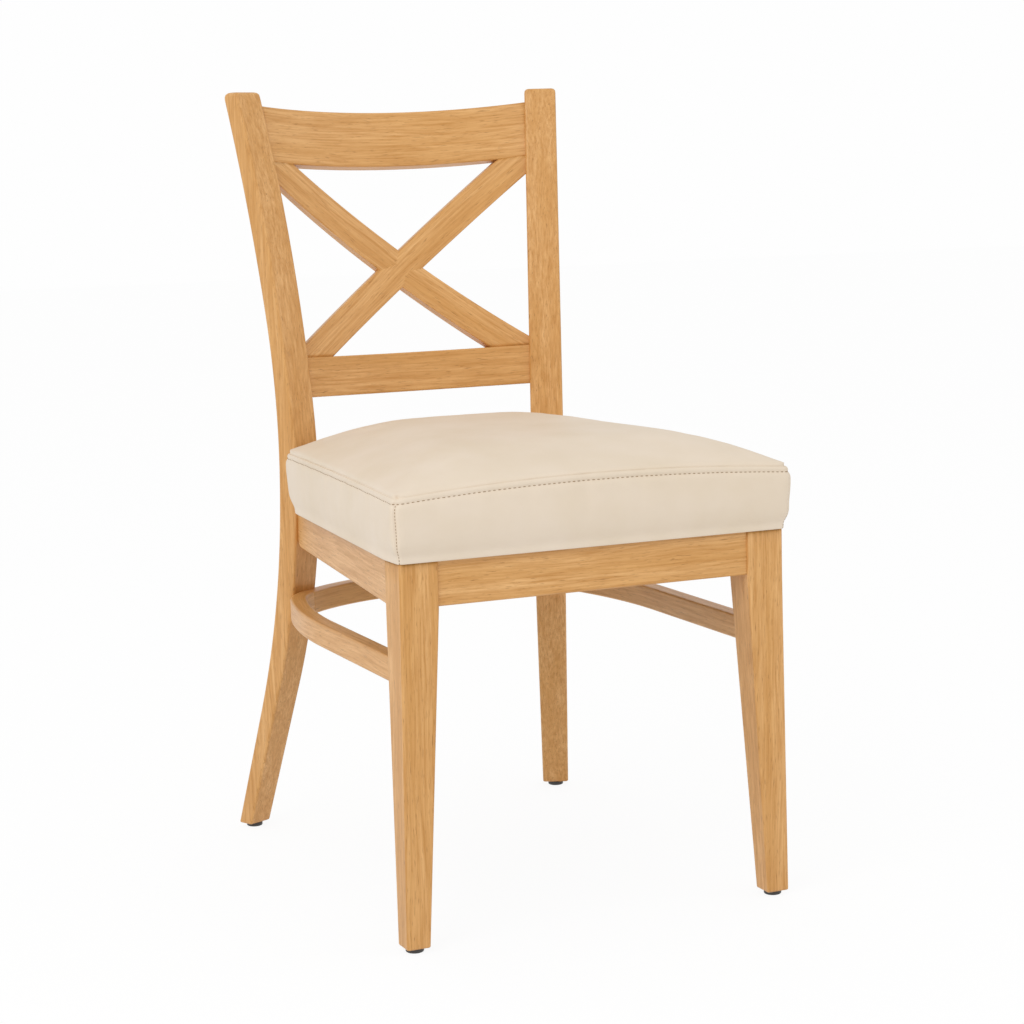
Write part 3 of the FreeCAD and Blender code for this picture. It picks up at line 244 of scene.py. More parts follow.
# Nylon pressed into smooth discs: dark grey with a dull shine.
NYLON = plain_finish("moulded_nylon", "#4A4846", "#3A3937", 0.8, 0.5, 0.02)
# Steel plated with bright zinc: bluish grey metal, finely clouded.
ZINC = plain_finish("zinc_plated_steel", "#C9CCD0", "#AEB3B9", 0.6, 0.34, 0.01, metallic=1.0)
# Polyester thread, twisted and waxed: light brown, dull.
THREAD = plain_finish("waxed_polyester_thread", "#A98B66", "#8E704D", 0.5, 0.6, 0.03)
# Spun polypropylene cloth: black, matt, with a felted surface.
CLOTH = plain_finish("spunbonded_dust_cloth", "#2A2A2C", "#19191B", 0.9, 0.85, 0.08)
# Birch plywood, rotary cut and sanded: pale, with long faint streaks.
PLYWOOD = plain_finish(
    "birch_plywood_sanded", "#E2C9A4", "#CDAE84", 22.0, 0.6, 0.05, stretch=(0.12, 1.0, 1.0)
)


# Surfaces
def placed(name, data):
    """A new object in the scene."""
    item = bpy.data.objects.new(name, data)
    bpy.context.scene.collection.objects.link(item)
    return item


def grid_quads(rows, columns):
    """Quads between neighbours of a stack of closed rings, numbered row by row."""
    step = np.arange(columns)
    row = np.arange(rows - 1)[:, None] * columns
    here = row + step
    beside = row + (step + 1) % columns
    return np.stack([here, beside, beside + columns, here + columns], axis=-1).reshape(-1, 4)


def fan_round(ring, hub):
    """Triangles between a closed ring of numbered points and a hub."""
    return np.stack([np.roll(ring, -1), ring, np.full(len(ring), hub)], axis=1)


def joined(parts):
    """Several sets of vertices, quads and triangles as one."""
    vertices, quads, triangles = [], [], []
    base = 0
    for points, squares, fans in parts:
        vertices.append(points)
        quads.append(squares + base)
        triangles.append(fans + base)
        base += len(points)
    return np.concatenate(vertices), np.concatenate(quads), np.concatenate(triangles)


def distances_along(line):
    """How far each point of a line lies along it."""
    return np.concatenate([[0.0], np.cumsum(np.linalg.norm(np.diff(line, axis=0), axis=1))])


def points_at(places, lengths, line):
    """Points at some distances along a line."""
    return np.stack([np.interp(places, lengths, axis) for axis in line.T], axis=-1)


def volume(vertices, faces):
    """Six times the volume that the faces enclose, positive where they face outwards."""
    total = 0.0
    for second in range(1, faces.shape[1] - 1):
        a, b, c = (vertices[faces[:, k]] for k in (0, second, second + 1))
        total += np.einsum("ij,ij->i", a, np.cross(b, c)).sum()
    return total


def make(name, vertices, quads, triangles, material, slot, replaced, grain=None):
    """A piece of the chair from arrays, its faces turned outwards."""
    if volume(vertices, quads) + volume(vertices, triangles) < 0:
        quads = quads[:, ::-1]
        triangles = triangles[:, ::-1]
    mesh = bpy.data.meshes.new(name)
    mesh.from_pydata((vertices * MM).tolist(), [], quads.tolist() + triangles.tolist())
    if grain is not None:
        attribute = mesh.attributes.new("Grain", "FLOAT_VECTOR", "POINT")
        attribute.data.foreach_set("vector", (grain * MM).ravel())
    mesh.update()
    mesh.shade_smooth()
    mesh.materials.append(material)
    piece = placed(name, mesh)
    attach(piece, "root")
    if replaced:
        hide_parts(*replaced)
    return piece


def section(low_a, high_a, low_b, high_b, radius):
    """Rectangles with rounded corners, one a row: each corner is a quarter circle, and a
    point half a millimetre down each flat keeps the flats flat under smooth shading. A size
    that is the same for all rows is one number.
    """
    edges = np.broadcast_arrays(low_a, high_a, low_b, high_b, radius)
    low_a, high_a, low_b, high_b, radius = edges
    turns = np.radians(np.linspace(0, 90, 6))
    slide = np.array([-1.0, 0, 0, 0, 0, 0, 0, 1.0]) * 0.5
    turns = np.concatenate([turns[:1], turns, turns[-1:]])
    a_parts, b_parts = [], []
    for quarter, (side_a, side_b) in enumerate(((1, 1), (-1, 1), (-1, -1), (1, -1))):
        angle = turns + quarter * math.pi / 2
        centre_a = (high_a - radius) if side_a > 0 else (low_a + radius)
        centre_b = (high_b - radius) if side_b > 0 else (low_b + radius)
        a_parts.append(centre_a[:, None] + radius[:, None] * np.cos(angle) - slide * np.sin(angle))
        b_parts.append(centre_b[:, None] + radius[:, None] * np.sin(angle) + slide * np.cos(angle))
    return np.concatenate(a_parts, axis=1), np.concatenate(b_parts, axis=1)


def rolled(distance, radius):
    """How far a side is drawn in at a distance from an end that is rounded over."""
    reach = np.clip(radius - distance, 0, radius)
    return radius - np.sqrt(np.maximum(radius * radius - reach * reach, 0))


def stations(low, high, count, low_round, high_round):
    """Places along a piece: a few close together over each rounded end, even between."""
    bend = 1 - np.cos(np.radians([0, 22.5, 45, 67.5, 90]))
    head = low + low_round * bend if low_round else np.array([low])
    tail = high - high_round * bend[::-1] if high_round else np.array([high])
    middle = np.linspace(head[-1], tail[0], count + 2)[1:-1]
    guard = [head[-1] + 0.5] if low_round else []
    other = [tail[0] - 0.5] if high_round else []
    return np.concatenate([head, guard, middle, other, tail])


def bar(along, a, b, place):
    """The vertices, faces and grain of a bar: its sections (a across, b through) carried
    along it, each end closed by a fan.
    """
    rows, columns = a.shape
    along = along.reshape(rows, -1) + 0 * a
    layers = []
    for layer in (place(along, a, b), np.stack([along, a, b], axis=-1)):
        layers.append(np.concatenate([layer.reshape(-1, 3), layer[[0, -1]].mean(axis=1)]))
    first = np.arange(columns)
    last = first[::-1] + (rows - 1) * columns
    fans = np.concatenate([fan_round(first, rows * columns), fan_round(last, rows * columns + 1)])
    return layers[0], grid_quads(rows, columns), fans, layers[1]


def upright(along, x, y):
    """The place of a bar that stands up."""
    return np.stack([x, y, along], axis=-1)


GRAIN_STEP = np.array([517.0, 83.0, 41.0])
pieces_cut = 0


def oak_piece(name, parts, mirror=False):
    """An oak bar that stands for the node of its own name, with a stretch of grain of its own."""
    global pieces_cut
    pieces_cut += 1
    vertices, quads, triangles, grain = parts
    if mirror:
        vertices = vertices * np.array([-1.0, 1.0, 1.0])
    return make(name, vertices, quads, triangles, OAK, "oak", [name], grain + GRAIN_STEP * pieces_cut)


# Front legs: square, straight outside, tapered on both inner faces from the aprons down
def leg_parts():
    z = stations(GLIDE_HEIGHT, APRON_TOP, 14, FOOT_ROUND, 0.0)
    share = np.clip((APRON_BOTTOM - z) / (APRON_BOTTOM - GLIDE_HEIGHT - FOOT_ROUND), 0, 1)
    outer = LEG_OUTER_X + LEG_SPLAY * share
    inner = (LEG_OUTER_X - LEG_SIDE) * (1 - share) + (LEG_OUTER_X + LEG_SPLAY - LEG_FOOT) * share
    rear = FRONT_Y + LEG_SIDE * (1 - share) + LEG_FOOT * share
    inset = rolled(z - GLIDE_HEIGHT, FOOT_ROUND)
    radius = LEG_EDGE - 0.8 * inset
    a, b = section(inner + inset, outer - inset, FRONT_Y + inset, rear - inset, radius)
    return bar(z, a, b, upright)


# Back posts: sabre shaped in the plane in which they are sawn, turned outwards
def post_line(heights, line):
    """How far back a line of the post lies at some heights, and its lean: straight in the
    foot, then one arc until it leans back, then a wider arc to the top.
    """
    foot, foot_lean, straight, seat_radius, back_lean, back_radius = line
    low = -math.radians(foot_lean)
    high = math.radians(back_lean)
    bend = foot + math.tan(low) * (straight - GLIDE_HEIGHT)
    upper = bend + seat_radius * (math.cos(low) - math.cos(high))
    upper_height = straight + seat_radius * (math.sin(high) - math.sin(low))
    seat_turn = np.arcsin(np.clip(math.sin(low) + (heights - straight) / seat_radius, -0.99, 0.99))
    back_turn = np.arcsin(np.clip(math.sin(high) + (heights - upper_height) / back_radius, -0.99, 0.99))
    in_foot = foot + math.tan(low) * (heights - GLIDE_HEIGHT)
    in_seat = bend + seat_radius * (math.cos(low) - np.cos(seat_turn))
    in_back = upper + back_radius * (math.cos(high) - np.cos(back_turn))
    parts = [heights <= straight, heights <= upper_height]
    place = np.select(parts, [in_foot, in_seat], in_back)
    return place, np.select(parts, [np.full_like(heights, low), seat_turn], back_turn)


def post_half(heights):
    """Half the post's width: it narrows from the seat to the foot and a little to the top."""
    return np.interp(heights, [GLIDE_HEIGHT, APRON_TOP, POST_TOP], np.array(POST_WIDTHS) / 2)


def post_place(across, back, height):
    turn = math.radians(POST_TURN)
    x = POST_X + across * math.cos(turn) + back * math.sin(turn)
    y = FRONT_Y + POST_DEPTH - across * math.sin(turn) + back * math.cos(turn)
    return np.stack([x, y, height + 0 * x], axis=-1)


def post_parts():
    z = stations(GLIDE_HEIGHT, POST_TOP, 64, FOOT_ROUND, POST_TOP_REAR_ROUND)
    front = post_line(z, POST_FRONT_LINE)[0]
    rear = post_line(z, POST_REAR_LINE)[0]
    half = post_half(z)
    foot_inset = rolled(z - GLIDE_HEIGHT, FOOT_ROUND)
    side_inset = foot_inset + rolled(POST_TOP - z, POST_TOP_SIDE_ROUND)
    front_inset = foot_inset + rolled(POST_TOP - z, POST_TOP_FRONT_ROUND)
    rear_inset = foot_inset + rolled(POST_TOP - z, POST_TOP_REAR_ROUND)
    radius = POST_EDGE - 0.5 * foot_inset
    a, b = section(-half + side_inset, half - side_inset, front + front_inset, rear - rear_inset, radius)
    return bar(z, a, b, lambda along, across, back: post_place(across, back, along))


# Rails of the back: bowed boards that lean with the posts
def rail_frame(base, height):
    """The rail's place, lean in radians, bow radius and bow, from where it meets the posts."""
    turn = math.radians(POST_TURN)
    levels = np.array([base, base + height / 2])
    front, lean = post_line(levels, POST_FRONT_LINE)
    corner = post_place(-post_half(levels[:1]), front[:1] + RAIL_SETBACK, levels[:1])[0]
    tilt = math.atan(math.cos(turn) * math.tan(lean[1]))
    radius = corner[0] / math.sin(turn)
    bow = radius * (1 - math.cos(turn))
    return {"origin": (corner[1], base), "tilt": tilt, "radius": radius, "bow": bow}


def tilted(x, back, up, origin, tilt):
    """Points of a frame that leans back about the X axis, in the chair's axes."""
    y = origin[0] + back * math.cos(tilt) + up * math.sin(tilt)
    z = origin[1] - back * math.sin(tilt) + up * math.cos(tilt)
    return np.stack([x + 0 * y, y, z], axis=-1)


TOP_RAIL = rail_frame(TOP_RAIL_BASE, TOP_RAIL_HEIGHT)
LOWER_RAIL = rail_frame(LOWER_RAIL_BASE, LOWER_RAIL_HEIGHT)


def rail_parts(rail, height):
    radius = rail["radius"]
    reach = math.radians(POST_TURN) + RAIL_TONGUE / radius
    turn = np.linspace(-reach, reach, 49)
    a, b = section(0 * turn, RAIL_THICKNESS, 0, height, RAIL_EDGE)

    def place(along, through, up):
        x = (radius + through) * np.sin(along / radius)
        back = rail["bow"] - radius + (radius + through) * np.cos(along / radius)
        return tilted(x, back, up, rail["origin"], rail["tilt"])

    return bar(turn * radius, a, b, place)


# Cross slats: bands of one bowed sheet, halved where they cross
def slat_frame():
    """The place and lean of the slats' sheet, from the middles of the rails' facing edges."""
    low, high = (
        tilted(0.0, rail["bow"], height, rail["origin"], rail["tilt"])
        for rail, height in ((LOWER_RAIL, LOWER_RAIL_HEIGHT), (TOP_RAIL, 0.0))
    )
    tilt = math.atan2(*(high - low)[1:])
    return tilted(0.0, SLAT_SETBACK, 0.0, low[1:], tilt)[1:], tilt


SLAT_ORIGIN, SLAT_TILT = slat_frame()


def slat_parts(sign, front_drop, rear_drop):
    """A slanted band of a bowed sheet. Its two ends follow the edges of the rails: the end of
    each line along the band is found where the line crosses the rail's level plane. Near the
    crossing the face that is let in lies a little deeper, by front_drop or rear_drop.
    """
    angle = math.radians(SLAT_ANGLE)
    steps = np.linspace(0, 1, 45)
    half = SLAT_WIDTH / 2
    a, b = section(0 * steps - half, half, 0, SLAT_THICKNESS, SLAT_EDGE)

    def sheet(run, across, through):
        x = run * math.cos(angle) - across * math.sin(angle)
        up = SLAT_CROSSING + run * math.sin(angle) + across * math.cos(angle)
        back = -SLAT_RADIUS + np.sqrt((SLAT_RADIUS + through) ** 2 - x * x)
        return tilted(sign * x, back, up, SLAT_ORIGIN, SLAT_TILT)

    def run_to(rail, level, guess):
        """Where the lines along the band meet a rail's level, by six Newton steps."""
        run = np.full_like(a[:1], guess)
        for _ in range(6):
            gaps = []
            for nudge in (0.0, NEWTON_NUDGE):
                gap = sheet(run + nudge, a[:1], b[:1])[..., 1:] - rail["origin"]
                rise = gap[..., 0] * math.sin(rail["tilt"]) + gap[..., 1] * math.cos(rail["tilt"])
                gaps.append(rise - level)
            run = run - gaps[0] * NEWTON_NUDGE / (gaps[1] - gaps[0])
        return run

    low_guess, high_guess = SLAT_END_GUESSES
    low = run_to(LOWER_RAIL, LOWER_RAIL_HEIGHT - SLAT_END_GAP, low_guess)
    high = run_to(TOP_RAIL, SLAT_END_GAP, high_guess)
    run = low + (high - low) * steps[:, None]
    near = np.clip((HALVING_REACH - abs(run)) / 2.0, 0, 1)
    through = b + near * np.where(b < SLAT_THICKNESS / 2, front_drop, -rear_drop)
    return bar(run, a, b, lambda along, across, _: sheet(along, across, through))


# Hoop stretcher: one bent bar in three lengths that meet in upright seams under the posts
def hoop_path():
    """The inner line of the right arm: straight, a wide arc, then the corner's arc."""
    def around(centre, radius, angle):
        return centre + radius * np.array([math.cos(math.radians(angle)), math.sin(math.radians(angle))])

    middle = np.array([0.0, FRONT_Y + HOOP_REAR_CENTRE])
    corner = around(middle, HOOP_REAR_RADIUS - HOOP_CORNER_RADIUS, HOOP_SEAM)
    handover = around(corner, HOOP_CORNER_RADIUS, HOOP_SIDE_TURN)
    radius = (HOOP_INNER_X - handover[0]) / (1 - math.cos(math.radians(HOOP_SIDE_TURN)))
    side = around(handover, -radius, HOOP_SIDE_TURN)
    return middle, corner, side, radius


HOOP_MIDDLE, HOOP_CORNER, HOOP_SIDE, HOOP_SIDE_RADIUS = hoop_path()


def hoop_section(inset):
    """The hoop's sections: across from its inner face, and up from the floor."""
    top = HOOP_BASE + HOOP_HEIGHT
    return section(inset, HOOP_THICKNESS - inset, HOOP_BASE + inset, top - inset, HOOP_EDGE)


def side_stretcher_parts():
    start = FRONT_Y + HOOP_START
    straight = HOOP_SIDE[1] - start
    wide = math.radians(HOOP_SIDE_TURN) * HOOP_SIDE_RADIUS
    tight = math.radians(HOOP_SEAM - HOOP_SIDE_TURN) * HOOP_CORNER_RADIUS
    length = straight + wide + tight
    runs = stations(0.0, length, 60, 0.0, HOOP_SEAM_ROUND)
    a, b = hoop_section(rolled(length - runs, HOOP_SEAM_ROUND))

    def place(along, out, z):
        in_wide = np.clip(along - straight, 0, wide) / HOOP_SIDE_RADIUS
        in_tight = np.clip(along - straight - wide, 0, None) / HOOP_CORNER_RADIUS
        turn = in_wide + in_tight
        on_straight = np.stack([HOOP_INNER_X + out, start + along], axis=-1)
        around = np.stack([np.cos(turn), np.sin(turn)], axis=-1)
        on_wide = HOOP_SIDE + around * (HOOP_SIDE_RADIUS + out)[..., None]
        on_tight = HOOP_CORNER + around * (HOOP_CORNER_RADIUS + out)[..., None]
        plan = np.where((along < straight)[..., None], on_straight, on_wide)
        plan = np.where((along > straight + wide)[..., None], on_tight, plan)
        return np.concatenate([plan, z[..., None]], axis=-1)

    return bar(runs, a, b, place)


def rear_stretcher_parts():
    reach = math.radians(90 - HOOP_SEAM) * HOOP_REAR_RADIUS
    runs = stations(-reach, reach, 60, HOOP_SEAM_ROUND, HOOP_SEAM_ROUND)
    a, b = hoop_section(rolled(reach - abs(runs), HOOP_SEAM_ROUND))

    def place(along, out, z):
        turn = along / HOOP_REAR_RADIUS
        x = HOOP_MIDDLE[0] + (HOOP_REAR_RADIUS + out) * np.sin(turn)
        y = HOOP_MIDDLE[1] + (HOOP_REAR_RADIUS + out) * np.cos(turn)
        return np.stack([x, y, z], axis=-1)

    return bar(runs, a, b, place)


for side, mirror in (("right", False), ("left", True)):
    oak_piece("front_leg_" + side, leg_parts(), mirror)
    oak_piece("back_post_" + side, post_parts(), mirror)
    oak_piece("side_stretcher_" + side, side_stretcher_parts(), mirror)
oak_piece("rear_stretcher", rear_stretcher_parts())
oak_piece("top_rail", rail_parts(TOP_RAIL, TOP_RAIL_HEIGHT))
oak_piece("lower_back_rail", rail_parts(LOWER_RAIL, LOWER_RAIL_HEIGHT))
oak_piece("cross_slat_rising", slat_parts(1, 0.0, HALVING_DROP))
oak_piece("cross_slat_falling", slat_parts(-1, HALVING_DROP, 0.0))


# Glides: turned discs, their edges rounded. Each ring is how far it lies inside the rim, and
# its height.
GLIDE_HUB = GLIDE_RADIUS - 0.02
GLIDE_RINGS = (
    (GLIDE_HUB, 0.0),
    (1.6, 0.0),
    (1.0, 0.12),
    (0.4, 0.5),
    (0.0, 1.3),
    (0.0, GLIDE_HEIGHT - 0.6),
    (0.4, GLIDE_HEIGHT - 0.05),
    (1.0, GLIDE_HEIGHT),
    (GLIDE_HUB, GLIDE_HEIGHT),
)


def glide_parts():
    inset, level = np.array(GLIDE_RINGS).T
    radius = GLIDE_RADIUS - inset[:, None]
    turn = np.linspace(0, 2 * math.pi, 41)[:-1]
    disc, quads, fans, _ = bar(level, radius * np.cos(turn), radius * np.sin(turn), upright)
    rear_line = (POST_FRONT_LINE[0] + POST_REAR_LINE[0]) / 2
    feet = (
        (LEG_OUTER_X + LEG_SPLAY - LEG_FOOT / 2, FRONT_Y + LEG_FOOT / 2, 0.0),
        post_place(0.0, rear_line, 0.0),
    )
    centres = [np.array([side, 1, 1]) * foot for foot in feet for side in (1, -1)]
    return joined([(disc + centre, quads, fans) for centre in centres])


make("foot_glides", *glide_parts(), NYLON, "glide_plastic", ["foot_glides"])


# Cushion
SEAT_FRONT = FRONT_Y - SEAT_OVERHANG
SIDE_START = np.array([LEG_OUTER_X + SEAT_OVERHANG, SEAT_FRONT])
SIDE_END = np.array([SEAT_REAR_HALF, FRONT_Y + SEAT_REAR_CORNER])
SIDE_ALONG = (SIDE_END - SIDE_START) / np.linalg.norm(SIDE_END - SIDE_START)
SIDE_INWARD = np.array([-SIDE_ALONG[1], SIDE_ALONG[0]])
BOW_CENTRE = np.array([0.0, FRONT_Y + SEAT_REAR_CREST - SEAT_REAR_RADIUS])


def seat_outline(inset, corner=SEAT_FRONT_CORNER):
    """The seat's plan drawn in by an inset, counterclockwise from the middle of the front left
    corner: front, right side, rear and left side, each with steps that lie close together at
    the corners. Built from three straight lines, a bow and four arcs.
    """
    base = SIDE_START + SIDE_INWARD * (inset + corner)
    front_hub = base + SIDE_ALONG * (SEAT_FRONT + inset + corner - base[1]) / SIDE_ALONG[1]
    base = SIDE_START + SIDE_INWARD * (inset + SEAT_REAR_ROUND)
    gap = base - BOW_CENTRE
    reach = SEAT_REAR_RADIUS - inset - SEAT_REAR_ROUND
    half = gap @ SIDE_ALONG
    rear_hub = base + SIDE_ALONG * (-half + math.sqrt(half * half - gap @ gap + reach * reach))

    def arc(centre, radius, low, high, count):
        turn = np.linspace(low, high, count)
        return centre + radius * np.stack([np.cos(turn), np.sin(turn)], axis=-1)

    side_angle = math.atan2(-SIDE_INWARD[1], -SIDE_INWARD[0])
    bow_angle = math.atan2(*(rear_hub - BOW_CENTRE)[::-1])
    front_turn = (-math.pi / 2 + side_angle) / 2
    rear_turn = (side_angle + bow_angle) / 2
    right = np.concatenate([
        arc(front_hub, corner, front_turn, side_angle, 12),
        arc(rear_hub, SEAT_REAR_ROUND, side_angle, rear_turn, 12),
    ])
    half_front = np.concatenate([
        [[0.0, SEAT_FRONT + inset]],
        arc(front_hub, corner, -math.pi / 2, front_turn, 12),
    ])
    half_rear = np.concatenate([
        arc(rear_hub, SEAT_REAR_ROUND, rear_turn, bow_angle, 12),
        arc(BOW_CENTRE, SEAT_REAR_RADIUS - inset, bow_angle, math.pi / 2, 40),
    ])
    flip = np.array([-1.0, 1.0])
    sides = [
        np.concatenate([half_front[::-1] * flip, half_front[1:]]),
        right,
        np.concatenate([half_rear, half_rear[-2::-1] * flip]),
        right[::-1] * flip,
    ]
    return [even_out(side) for side in sides]


# Steps along each side, close together at both ends, for the corners and the seams
SIDE_STEPS = 92
FINE_STEPS = (0.0, 0.0018, 0.0042, 0.008, 0.0135)
EVEN_FROM = 0.0205


def shares():
    """The steps from 0 to 1."""
    ends = np.array(FINE_STEPS)
    middle = np.linspace(EVEN_FROM, 1 - EVEN_FROM, SIDE_STEPS + 1 - 2 * len(FINE_STEPS))
    return np.concatenate([ends, middle, 1 - ends[::-1]])


def even_out(line):
    """The same line with points at the shares of its length."""
    lengths = distances_along(line)
    return points_at(shares() * lengths[-1], lengths, line)


def seat_loop(inset, corner=SEAT_FRONT_CORNER):
    """The outline as one closed row of points."""
    return np.concatenate([side[:-1] for side in seat_outline(inset, corner)])


def boxing_inset(height):
    """How far the boxing lies inside the widest outline: tucked below, drawn in at the seam."""
    low = BOTTOM_TUCK * np.clip((FULLEST - height) / FULLEST, 0, None) ** 2
    high = SEAM_DRAW * np.clip((height - FULLEST) / (SEAM - FULLEST), 0, None) ** 2
    return low + high


def seat_grid(inset):
    """A grid over the seat in plan: each point blends the four edges of the outline."""
    front, right, rear, left = seat_outline(inset)
    rear = rear[::-1]
    left = left[::-1]
    u = shares()[None, :, None]
    v = shares()[:, None, None]
    across = (1 - v) * front[None] + v * rear[None]
    down = (1 - u) * left[:, None] + u * right[:, None]
    corners = (
        (1 - u) * (1 - v) * front[0]
        + u * (1 - v) * front[-1]
        + (1 - u) * v * rear[0]
        + u * v * rear[-1]
    )
    return across + down - corners


def edge_distances(plan):
    """How far points lie inside the outline's side, front and rear edges."""
    x, y = plan[..., 0], plan[..., 1]
    from_side = (y - SIDE_START[1]) * SIDE_ALONG[0] - (abs(x) - SIDE_START[0]) * SIDE_ALONG[1]
    from_rear = SEAT_REAR_RADIUS - np.hypot(x, y - BOW_CENTRE[1])
    return from_side, y - SEAT_FRONT, from_rear


def seam_heights():
    """The seam's height over each point of the seat's grid: it bows up between the corners."""
    u = shares()[None, :]
    v = shares()[:, None]
    bow_u = 4 * u * (1 - u)
    bow_v = 4 * v * (1 - v)
    return SEAM + bow_u * (SEAM_BOW_FRONT * (1 - v) + SEAM_BOW_REAR * v) + SEAM_BOW_SIDE * bow_v


def crown_share(plan):
    """The crown's share of its height: from each edge a curve that is steep at the seam and
    level over the seat's middle, the three blended so that the least of them leads.
    """
    total = 1.0
    for distance in edge_distances(plan):
        share = np.clip((distance - SEAM_DRAW) / CROWN_REACH, 0, 1)
        rise = np.maximum(1 - (1 - share) ** CROWN_POWER, 1e-6)
        total = total + rise ** -CORNER_SOFTNESS - 1
    return total ** (-1 / CORNER_SOFTNESS)


def cells(numbers):
    """The quads of a grid of numbered points."""
    corners = [numbers[:-1, :-1], numbers[:-1, 1:], numbers[1:, 1:], numbers[1:, :-1]]
    return np.stack(corners, axis=-1).reshape(-1, 4)


def round_the_edge(grid):
    """A grid's outer points in the order of seat_loop."""
    return np.concatenate([grid[0, :-1], grid[:-1, -1], grid[-1, :0:-1], grid[:0:-1, 0]])


# The cushion's lower edge hangs over the aprons and rests on them at the rear. Each row is an
# inset and a height at the front and sides, then an inset and a height at the rear.
STRIP_INSET = BOTTOM_TUCK + TURN_IN
LOWER_EDGE = (
    (STRIP_INSET, 2.0, STRIP_INSET, 2.0),
    (STRIP_INSET - 0.3, 0.4, STRIP_INSET - 0.3, 0.4),
    (STRIP_INSET - 1.2, 0.0, STRIP_INSET - 1.2, 0.0),
    (11.6, 0.0, 11.6, 0.0),
    (10.1, 0.0, 10.3, 0.02),
    (9.8, -0.4, 10.0, 0.08),
    (9.8, -3.8, 9.8, 0.2),
    (9.5, -4.4, 9.6, 0.4),
    (9.0, -4.6, 9.4, 0.6),
    (8.4, -4.4, 9.2, 0.9),
    (8.0, -3.8, 9.0, 1.2),
    (7.9, -1.0, 8.7, 1.7),
)
# the first row of its outer face, its corner's radius, and where it stops hanging
OUTER_LIP = 8
LOWER_EDGE_CORNER = 4.5
HANG_ENDS = (105.0, 150.0)
# the boxing's rows: even, then close together under the seam
SEAM_ROWS = (10.0, 8.3, 7.4, 6.6, 5.8, 4.6, 3.2, 1.9, 0.9, 0.0)
BOXING_HEIGHTS = np.concatenate([np.linspace(2.8, 50.0, 14), SEAM - np.array(SEAM_ROWS)])


def smooth_step(low, high, value):
    """From 0 at low to 1 at high, level at both."""
    share = np.clip((value - low) / (high - low), 0, 1)
    return share * share * (3 - 2 * share)


def cushion_surface():
    """The whole cushion as one closed surface: the underside's turned in strip, the hanging
    lower edge, the boxing, and the crowned top, sharing the seam's row of points.
    """
    heights = seam_heights()
    stretch = round_the_edge(heights)[:, None] / SEAM
    y = seat_loop(BOTTOM_TUCK)[:, 1:]
    at_rear = smooth_step(*HANG_ENDS, y)
    beside_leg = np.clip((y - FRONT_Y) / LEG_SIDE, 0, 1) * (1 - at_rear)
    loops = []

    def eased(inset, corner, amount):
        """The outline at an inset, let out along the sides so that it clears the legs."""
        far = seat_loop(inset - SIDE_EASE * amount, corner)
        return seat_loop(inset, corner) * (1 - beside_leg) + far * beside_leg

    for inset, height, rear_inset, rear_height in LOWER_EDGE:
        plan = eased(inset, LOWER_EDGE_CORNER, 1.0) * (1 - at_rear)
        plan += seat_loop(rear_inset, LOWER_EDGE_CORNER) * at_rear
        loops.append(np.concatenate([plan, height * (1 - at_rear) + rear_height * at_rear], axis=1))
    for height in BOXING_HEIGHTS:
        share = smooth_step(0.0, FULLEST * 0.8, height)
        corner = LOWER_EDGE_CORNER * (1 - share) + SEAT_FRONT_CORNER * share
        tucked = max(1 - height / FULLEST, 0.0) ** 2
        plan = eased(float(boxing_inset(height)), float(corner), tucked)
        loops.append(np.concatenate([plan, height * stretch], axis=1))
    wall = np.stack(loops)
    rows, columns = wall.shape[:2]
    plan = seat_grid(SEAM_DRAW)
    top_heights = heights + (CROWN - heights) * crown_share(plan)
    top = np.concatenate([plan, top_heights[..., None]], axis=-1)
    numbers = np.full(top.shape[:2], -1)
    ring = np.arange(columns) + (rows - 1) * columns
    numbers[0, :] = ring[: SIDE_STEPS + 1]
    numbers[:, -1] = ring[SIDE_STEPS : 2 * SIDE_STEPS + 1]
    numbers[-1, :] = ring[2 * SIDE_STEPS : 3 * SIDE_STEPS + 1][::-1]
    numbers[1:, 0] = ring[3 * SIDE_STEPS :][::-1]
    inner = numbers < 0
    numbers[inner] = np.arange(inner.sum()) + rows * columns
    vertices = np.concatenate([wall.reshape(-1, 3), top[inner]])
    quads = np.concatenate([grid_quads(rows, columns), cells(numbers)])
    vertices = np.concatenate([vertices, [vertices[:columns].mean(axis=0)]])
    fan = fan_round(np.arange(columns), len(vertices) - 1)
    vertices[:, 2] += APRON_TOP
    return vertices, quads, fan, rows


# The simulation: the shell's cell, what is held (below a height over the apron, near the
# seam and near the corners), the furthest that a point moves, and how the cushion follows.
CORNERS = np.array([side[0] for side in seat_outline(0.0)])
SHELL_CELL = 6.0
HELD_BELOW = 4.0
HELD_AT_SEAM = 6.5
HELD_AT_CORNER = 9.0
SWELL_FRAMES = 20
SWELL_PRESSURE = 4.0
SWELL_LIMIT = 5.0
FOLLOWED_POINTS = 14
FOLLOWED_REACH = 9.0


def coordinates(mesh):
    """A mesh's vertices in millimetres."""
    points = np.empty(len(mesh.vertices) * 3)
    mesh.vertices.foreach_get("co", points)
    return points.reshape(-1, 3) / MM


def boxing(vertices, rows):
    """The rows of points under the top, the last of them along the seam."""
    return vertices[: rows * 4 * SIDE_STEPS].reshape(rows, 4 * SIDE_STEPS, 3)


